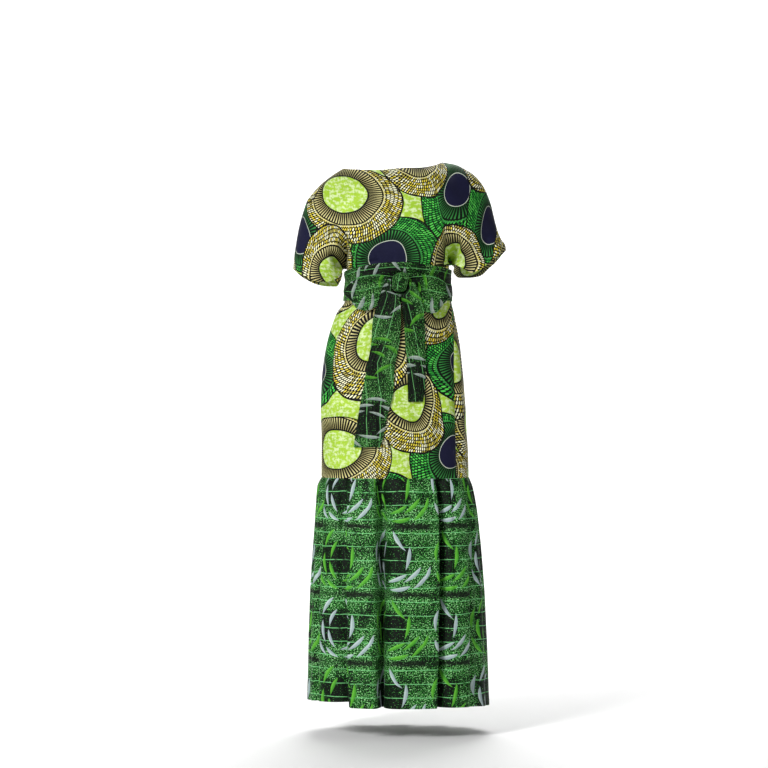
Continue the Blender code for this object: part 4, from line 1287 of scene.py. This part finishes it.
def build_flounce():
    lower = np.linspace(HEAD, 1, LOWER_ROWS + 1)[1:]
    share = np.concatenate([np.linspace(0, HEAD, HEAD_ROWS + 1), lower])
    threads = []
    for side, seed in (("front", 51), ("back", 63)):
        aa, ss = np.meshgrid(pleat_columns(side, FLOUNCE_COLUMNS), share)
        zz = flounce_z(side, aa, ss)
        p = flounce_points(side, aa, zz)
        n = outward_normals(p, from_axis(p))
        ease = smooth_step((90 - np.abs(aa)) / 8) * smooth_step((FLOUNCE_Z - zz) / 0.03)
        push = uneven(np.radians(aa) * 0.2, zz + 2, seed, 0.0014, 0.060, 0.0005, 0.025)
        p = p + n * (push * ease)[..., None]
        row = p[FLOUNCE_PRINT_ROW]
        run = run_along(row)
        flip = 1 if side == "front" else -1
        rise = zz - HEM_Z
        begin = run[np.argmin(np.abs(row[:, 0] + 0.018) + 0.2 * row[:, 1])]
        uv = np.stack([flip * (run[None, :] + 0 * zz - begin), rise - 0.0269], -1)
        piece = shell(
            "flounce_" + side + "_cloth", p, uv, from_axis(p), LEAF_CLOTH,
            hems=("last_row",), seams=("first_col", "last_col", "first_row"),
        )
        wear(piece, ["flounce_" + side])
        wide = round(float(panel_area(p)) / FLOUNCE_FALL, 2)
        n = outward_normals(p, from_axis(p))
        threads += edge_stitches(p, n, ["last_row"], HEM_STITCH, STITCH_LIFT)
    sew("flounce_hem_stitches", threads, STITCH_THICK, THREAD_DARK)


# Sash, and the grids of its parts: across, down
BAND_GRID = (301, 37)
LOOP_GRID = (141, 61)
TAIL_GRID = (49, 161)
KNOT_GRID = (144, 72)
SASH_WIDE = 0.096  # as the band shows it
SASH_THREAD = 0.00020


def share_grid(size):
    return np.meshgrid(*(np.linspace(0, 1, count) for count in size))


def build_sash():
    threads = []
    both = ("first_row", "last_row")
    aa, ss = share_grid(BAND_GRID)
    aa = 360 * aa - 180
    p = band_points(aa, ss)
    run = run_along(p[len(p) // 2])
    uv = np.stack([run[None, :] + 0 * ss + 0.03, SASH_WIDE * (0.5 - ss)], -1)
    band = shell("sash_band_cloth", p, uv, from_axis(p), SASH_CLOTH, around=True, hems=both)
    wear(band, ["sash_band"])
    n = outward_normals(p, from_axis(p), True)
    threads += edge_stitches(p, n, both, SASH_STITCH + 0.001, SASH_LIFT)
    for side, shift in (("right", 0.0), ("left", 0.43)):
        ss, tt = share_grid(LOOP_GRID)
        p = loop_points(side, ss, tt)
        away = p - p.mean(axis=(0, 1))
        away[..., 0] *= 0.1
        away[..., 2] = 0
        run = run_along(p[len(p) // 2])
        uv = np.stack([run[None, :] + 0 * ss + shift + 0.07, -0.088 * tt + 0.21], -1)
        loop = shell("sash_loop_" + side + "_cloth", p, uv, away, SASH_CLOTH, hems=both)
        wear(loop, ["sash_loop_" + side])
        threads += edge_stitches(p, outward_normals(p, away), both, SASH_STITCH, SASH_LIFT)
    # Tails: side, rows, phase, run to a dark block, print scale, width, drift at the top, middle and end
    tails = (
        ("right", TAIL_RIGHT_SIDE, 0.4, 0.064, 1.25, 0.075, (0.0, 0.045, 0.0)),
        ("left", TAIL_LEFT_SIDE, 2.2, 0.276, 1.0, 0.055, (0.055, 0.030, 0.0)),
    )
    for side, rows, phase, shift, scale, wide, drift in tails:
        tt, ss = share_grid(TAIL_GRID)
        p = tail_points(rows, ss, tt, phase)
        forward = np.zeros_like(p)
        forward[..., 1] = -1
        run = run_along(p[:, p.shape[1] // 2])
        swing = np.interp(ss, (0, 0.5, 1), drift)
        uv = np.stack([(run[:, None] + 0 * ss - shift) * scale, wide * (tt - 0.5) + swing], -1)
        tail = shell(
            "sash_tail_" + side + "_cloth", p, uv, forward, SASH_CLOTH,
            hems=("first_col", "last_col", "last_row"),
        )
        wear(tail, ["sash_tail_" + side])
        long = float(run[-1])
        flat = (round(float(panel_area(p)) / long * 1.12, 3), round(long, 3))
        n = outward_normals(p, forward)
        threads += edge_stitches(p, n, ("first_col", "last_col"), SASH_STITCH, SASH_LIFT)
    knot = build_knot()
    sew("sash_edge_stitches", threads, SASH_THREAD, THREAD_DARK)


def build_knot():
    """The sash drawn tight: wrapping folds round a rounded body."""
    around, up = KNOT_GRID
    cx, cz = KNOT_CENTRE
    cy = float(front_y(np.array(cx), np.array(cz), KNOT_OUT))
    longitude = np.linspace(0, 2 * math.pi, around + 1)
    latitude = np.linspace(-0.5, 0.5, up + 1) * math.pi * 0.997
    lo, la = np.meshgrid(longitude, latitude)
    s = np.sin(la)
    c = np.cos(la)
    ring = np.abs(c) ** 0.75
    slant = lo + 0.55 * s + 0.25 * np.sin(2 * lo + 1.0)
    groove = np.abs(np.sin(3.0 * slant + 0.4)) ** 0.7
    fine = np.cos(11 * slant + 2.5 * s) * c
    wrap = 1 - 0.17 * (1 - groove) * c - 0.018 * fine
    waist = 1 - 0.13 * np.exp(-((s / 0.45) ** 2)) + 0.05 * np.sin(3 * s + 2 * lo)
    x = KNOT_HALF_WIDTH * ring * np.sign(np.cos(lo)) * np.abs(np.cos(lo)) ** 0.85 * waist
    y = KNOT_HALF_DEPTH * ring * np.sin(lo) * wrap
    z = KNOT_HALF_HEIGHT * np.sign(s) * np.abs(s) ** 0.85 * (1 + 0.06 * np.cos(3 * lo + 1.0))
    p = np.stack([cx + x + 0.16 * z, cy + y, cz + z], -1)
    points = p[:, :-1].reshape(-1, 3)
    rows, cols = np.meshgrid(np.arange(up), np.arange(around), indexing="ij")
    i = rows.ravel()
    j = cols.ravel()
    k = (j + 1) % around
    quads = np.stack([i * around + j, i * around + k, (i + 1) * around + k, (i + 1) * around + j], 1)
    uv = np.stack([la * 0.020 + 0.085, (lo - 1.5 * math.pi) * 0.026 + 0.040], -1)
    maps = np.stack([uv[i, j], uv[i, j + 1], uv[i + 1, j + 1], uv[i + 1, j]], 1)
    knot = add_mesh("sash_knot_cloth", points, quads, maps, np.zeros(len(quads), int), SASH_CLOTH[:1])
    return wear(knot, ["sash_knot"])


build_bodice()
build_skirt()
build_flounce()
build_sash()

# Stage, light and camera
FLOOR_Z = -1.462
FLOOR_HALF = 14.0
FLOOR_END = 8.0
BEND = 1.6  # radius of the curve from floor to wall
WALL_TOP = 8.0
PIXEL = 0.0026  # metres a pixel of the photograph's frame covers at the origin
FRAME_WIDE = 768  # pixels
MIDDLE = FRAME_WIDE / 2
ORIGIN_X = 398  # the origin's place in that frame
ORIGIN_Y = 170
DISTANCE = 7.0
SENSOR = 36.0  # millimetres


def stage_material(name, colour):
    m, tree, shader = new_material(name)
    shader.inputs["Base Color"].default_value = colour
    shader.inputs["Roughness"].default_value = 0.9
    return m


def build_stage():
    """Plain pale floor that curves up into a wall."""
    profile = [(-9.0, FLOOR_Z)]
    for k in range(13):
        a = math.pi / 2 * k / 12
        profile.append((FLOOR_END + BEND * math.sin(a), FLOOR_Z + BEND * (1 - math.cos(a))))
    profile.append((FLOOR_END + BEND, WALL_TOP))
    points = [(x, y, z) for x in (-FLOOR_HALF, FLOOR_HALF) for y, z in profile]
    count = len(profile)
    faces = [(k, count + k, count + k + 1, k + 1) for k in range(count - 1)]
    mesh = bpy.data.meshes.new("studio_floor")
    mesh.from_pydata(points, [], faces)
    mesh.shade_smooth()
    mesh.materials.append(stage_material("studio_paper", (0.86, 0.86, 0.86, 1.0)))
    floor = bpy.data.objects.new("studio_floor", mesh)
    bpy.context.scene.collection.objects.link(floor)


def area_light(name, place, target, size, power):
    data = bpy.data.lights.new(name, "AREA")
    data.shape = "DISK"
    data.size = size
    data.energy = power
    light = bpy.data.objects.new(name, data)
    light.location = place
    aim = np.array(target, float) - np.array(place, float)
    light.rotation_euler = (
        math.atan2(math.hypot(aim[0], aim[1]), -aim[2]), 0.0, math.atan2(-aim[0], aim[1]),
    )
    bpy.context.scene.collection.objects.link(light)


# Lights: name, place, what it points at, size, power
LIGHTS = (
    ("key", (-2.9, -4.4, 1.6), (0, 0, -0.6), 1.5, 285),
    ("fill", (2.6, -4.8, 0.2), (0, 0, -0.7), 2.6, 28),
    ("back", (0.4, 1.9, 2.6), (0, 0, -0.4), 2.0, 50),
    ("backdrop", (0, 4.6, 5.6), (0, 9.6, -0.6), 5.0, 820),
)
WORLD_POWER = 0.25

build_stage()
for row in LIGHTS:
    area_light(*row)
world = bpy.data.worlds.new("studio_world")
world.use_nodes = True
background = world.node_tree.nodes["Background"]
background.inputs["Color"].default_value = (1.0, 1.0, 1.0, 1.0)
background.inputs["Strength"].default_value = WORLD_POWER
bpy.context.scene.world = world
bpy.context.scene.view_settings.view_transform = "Standard"

camera_data = bpy.data.cameras.new("camera")
camera_data.sensor_width = SENSOR
camera_data.lens = SENSOR * DISTANCE / (FRAME_WIDE * PIXEL)
camera = bpy.data.objects.new("camera", camera_data)
camera.location = ((MIDDLE - ORIGIN_X) * PIXEL, -DISTANCE, (ORIGIN_Y - MIDDLE) * PIXEL)
camera.rotation_euler = (math.pi / 2, 0.0, 0.0)
bpy.context.scene.collection.objects.link(camera)
bpy.context.scene.camera = camera
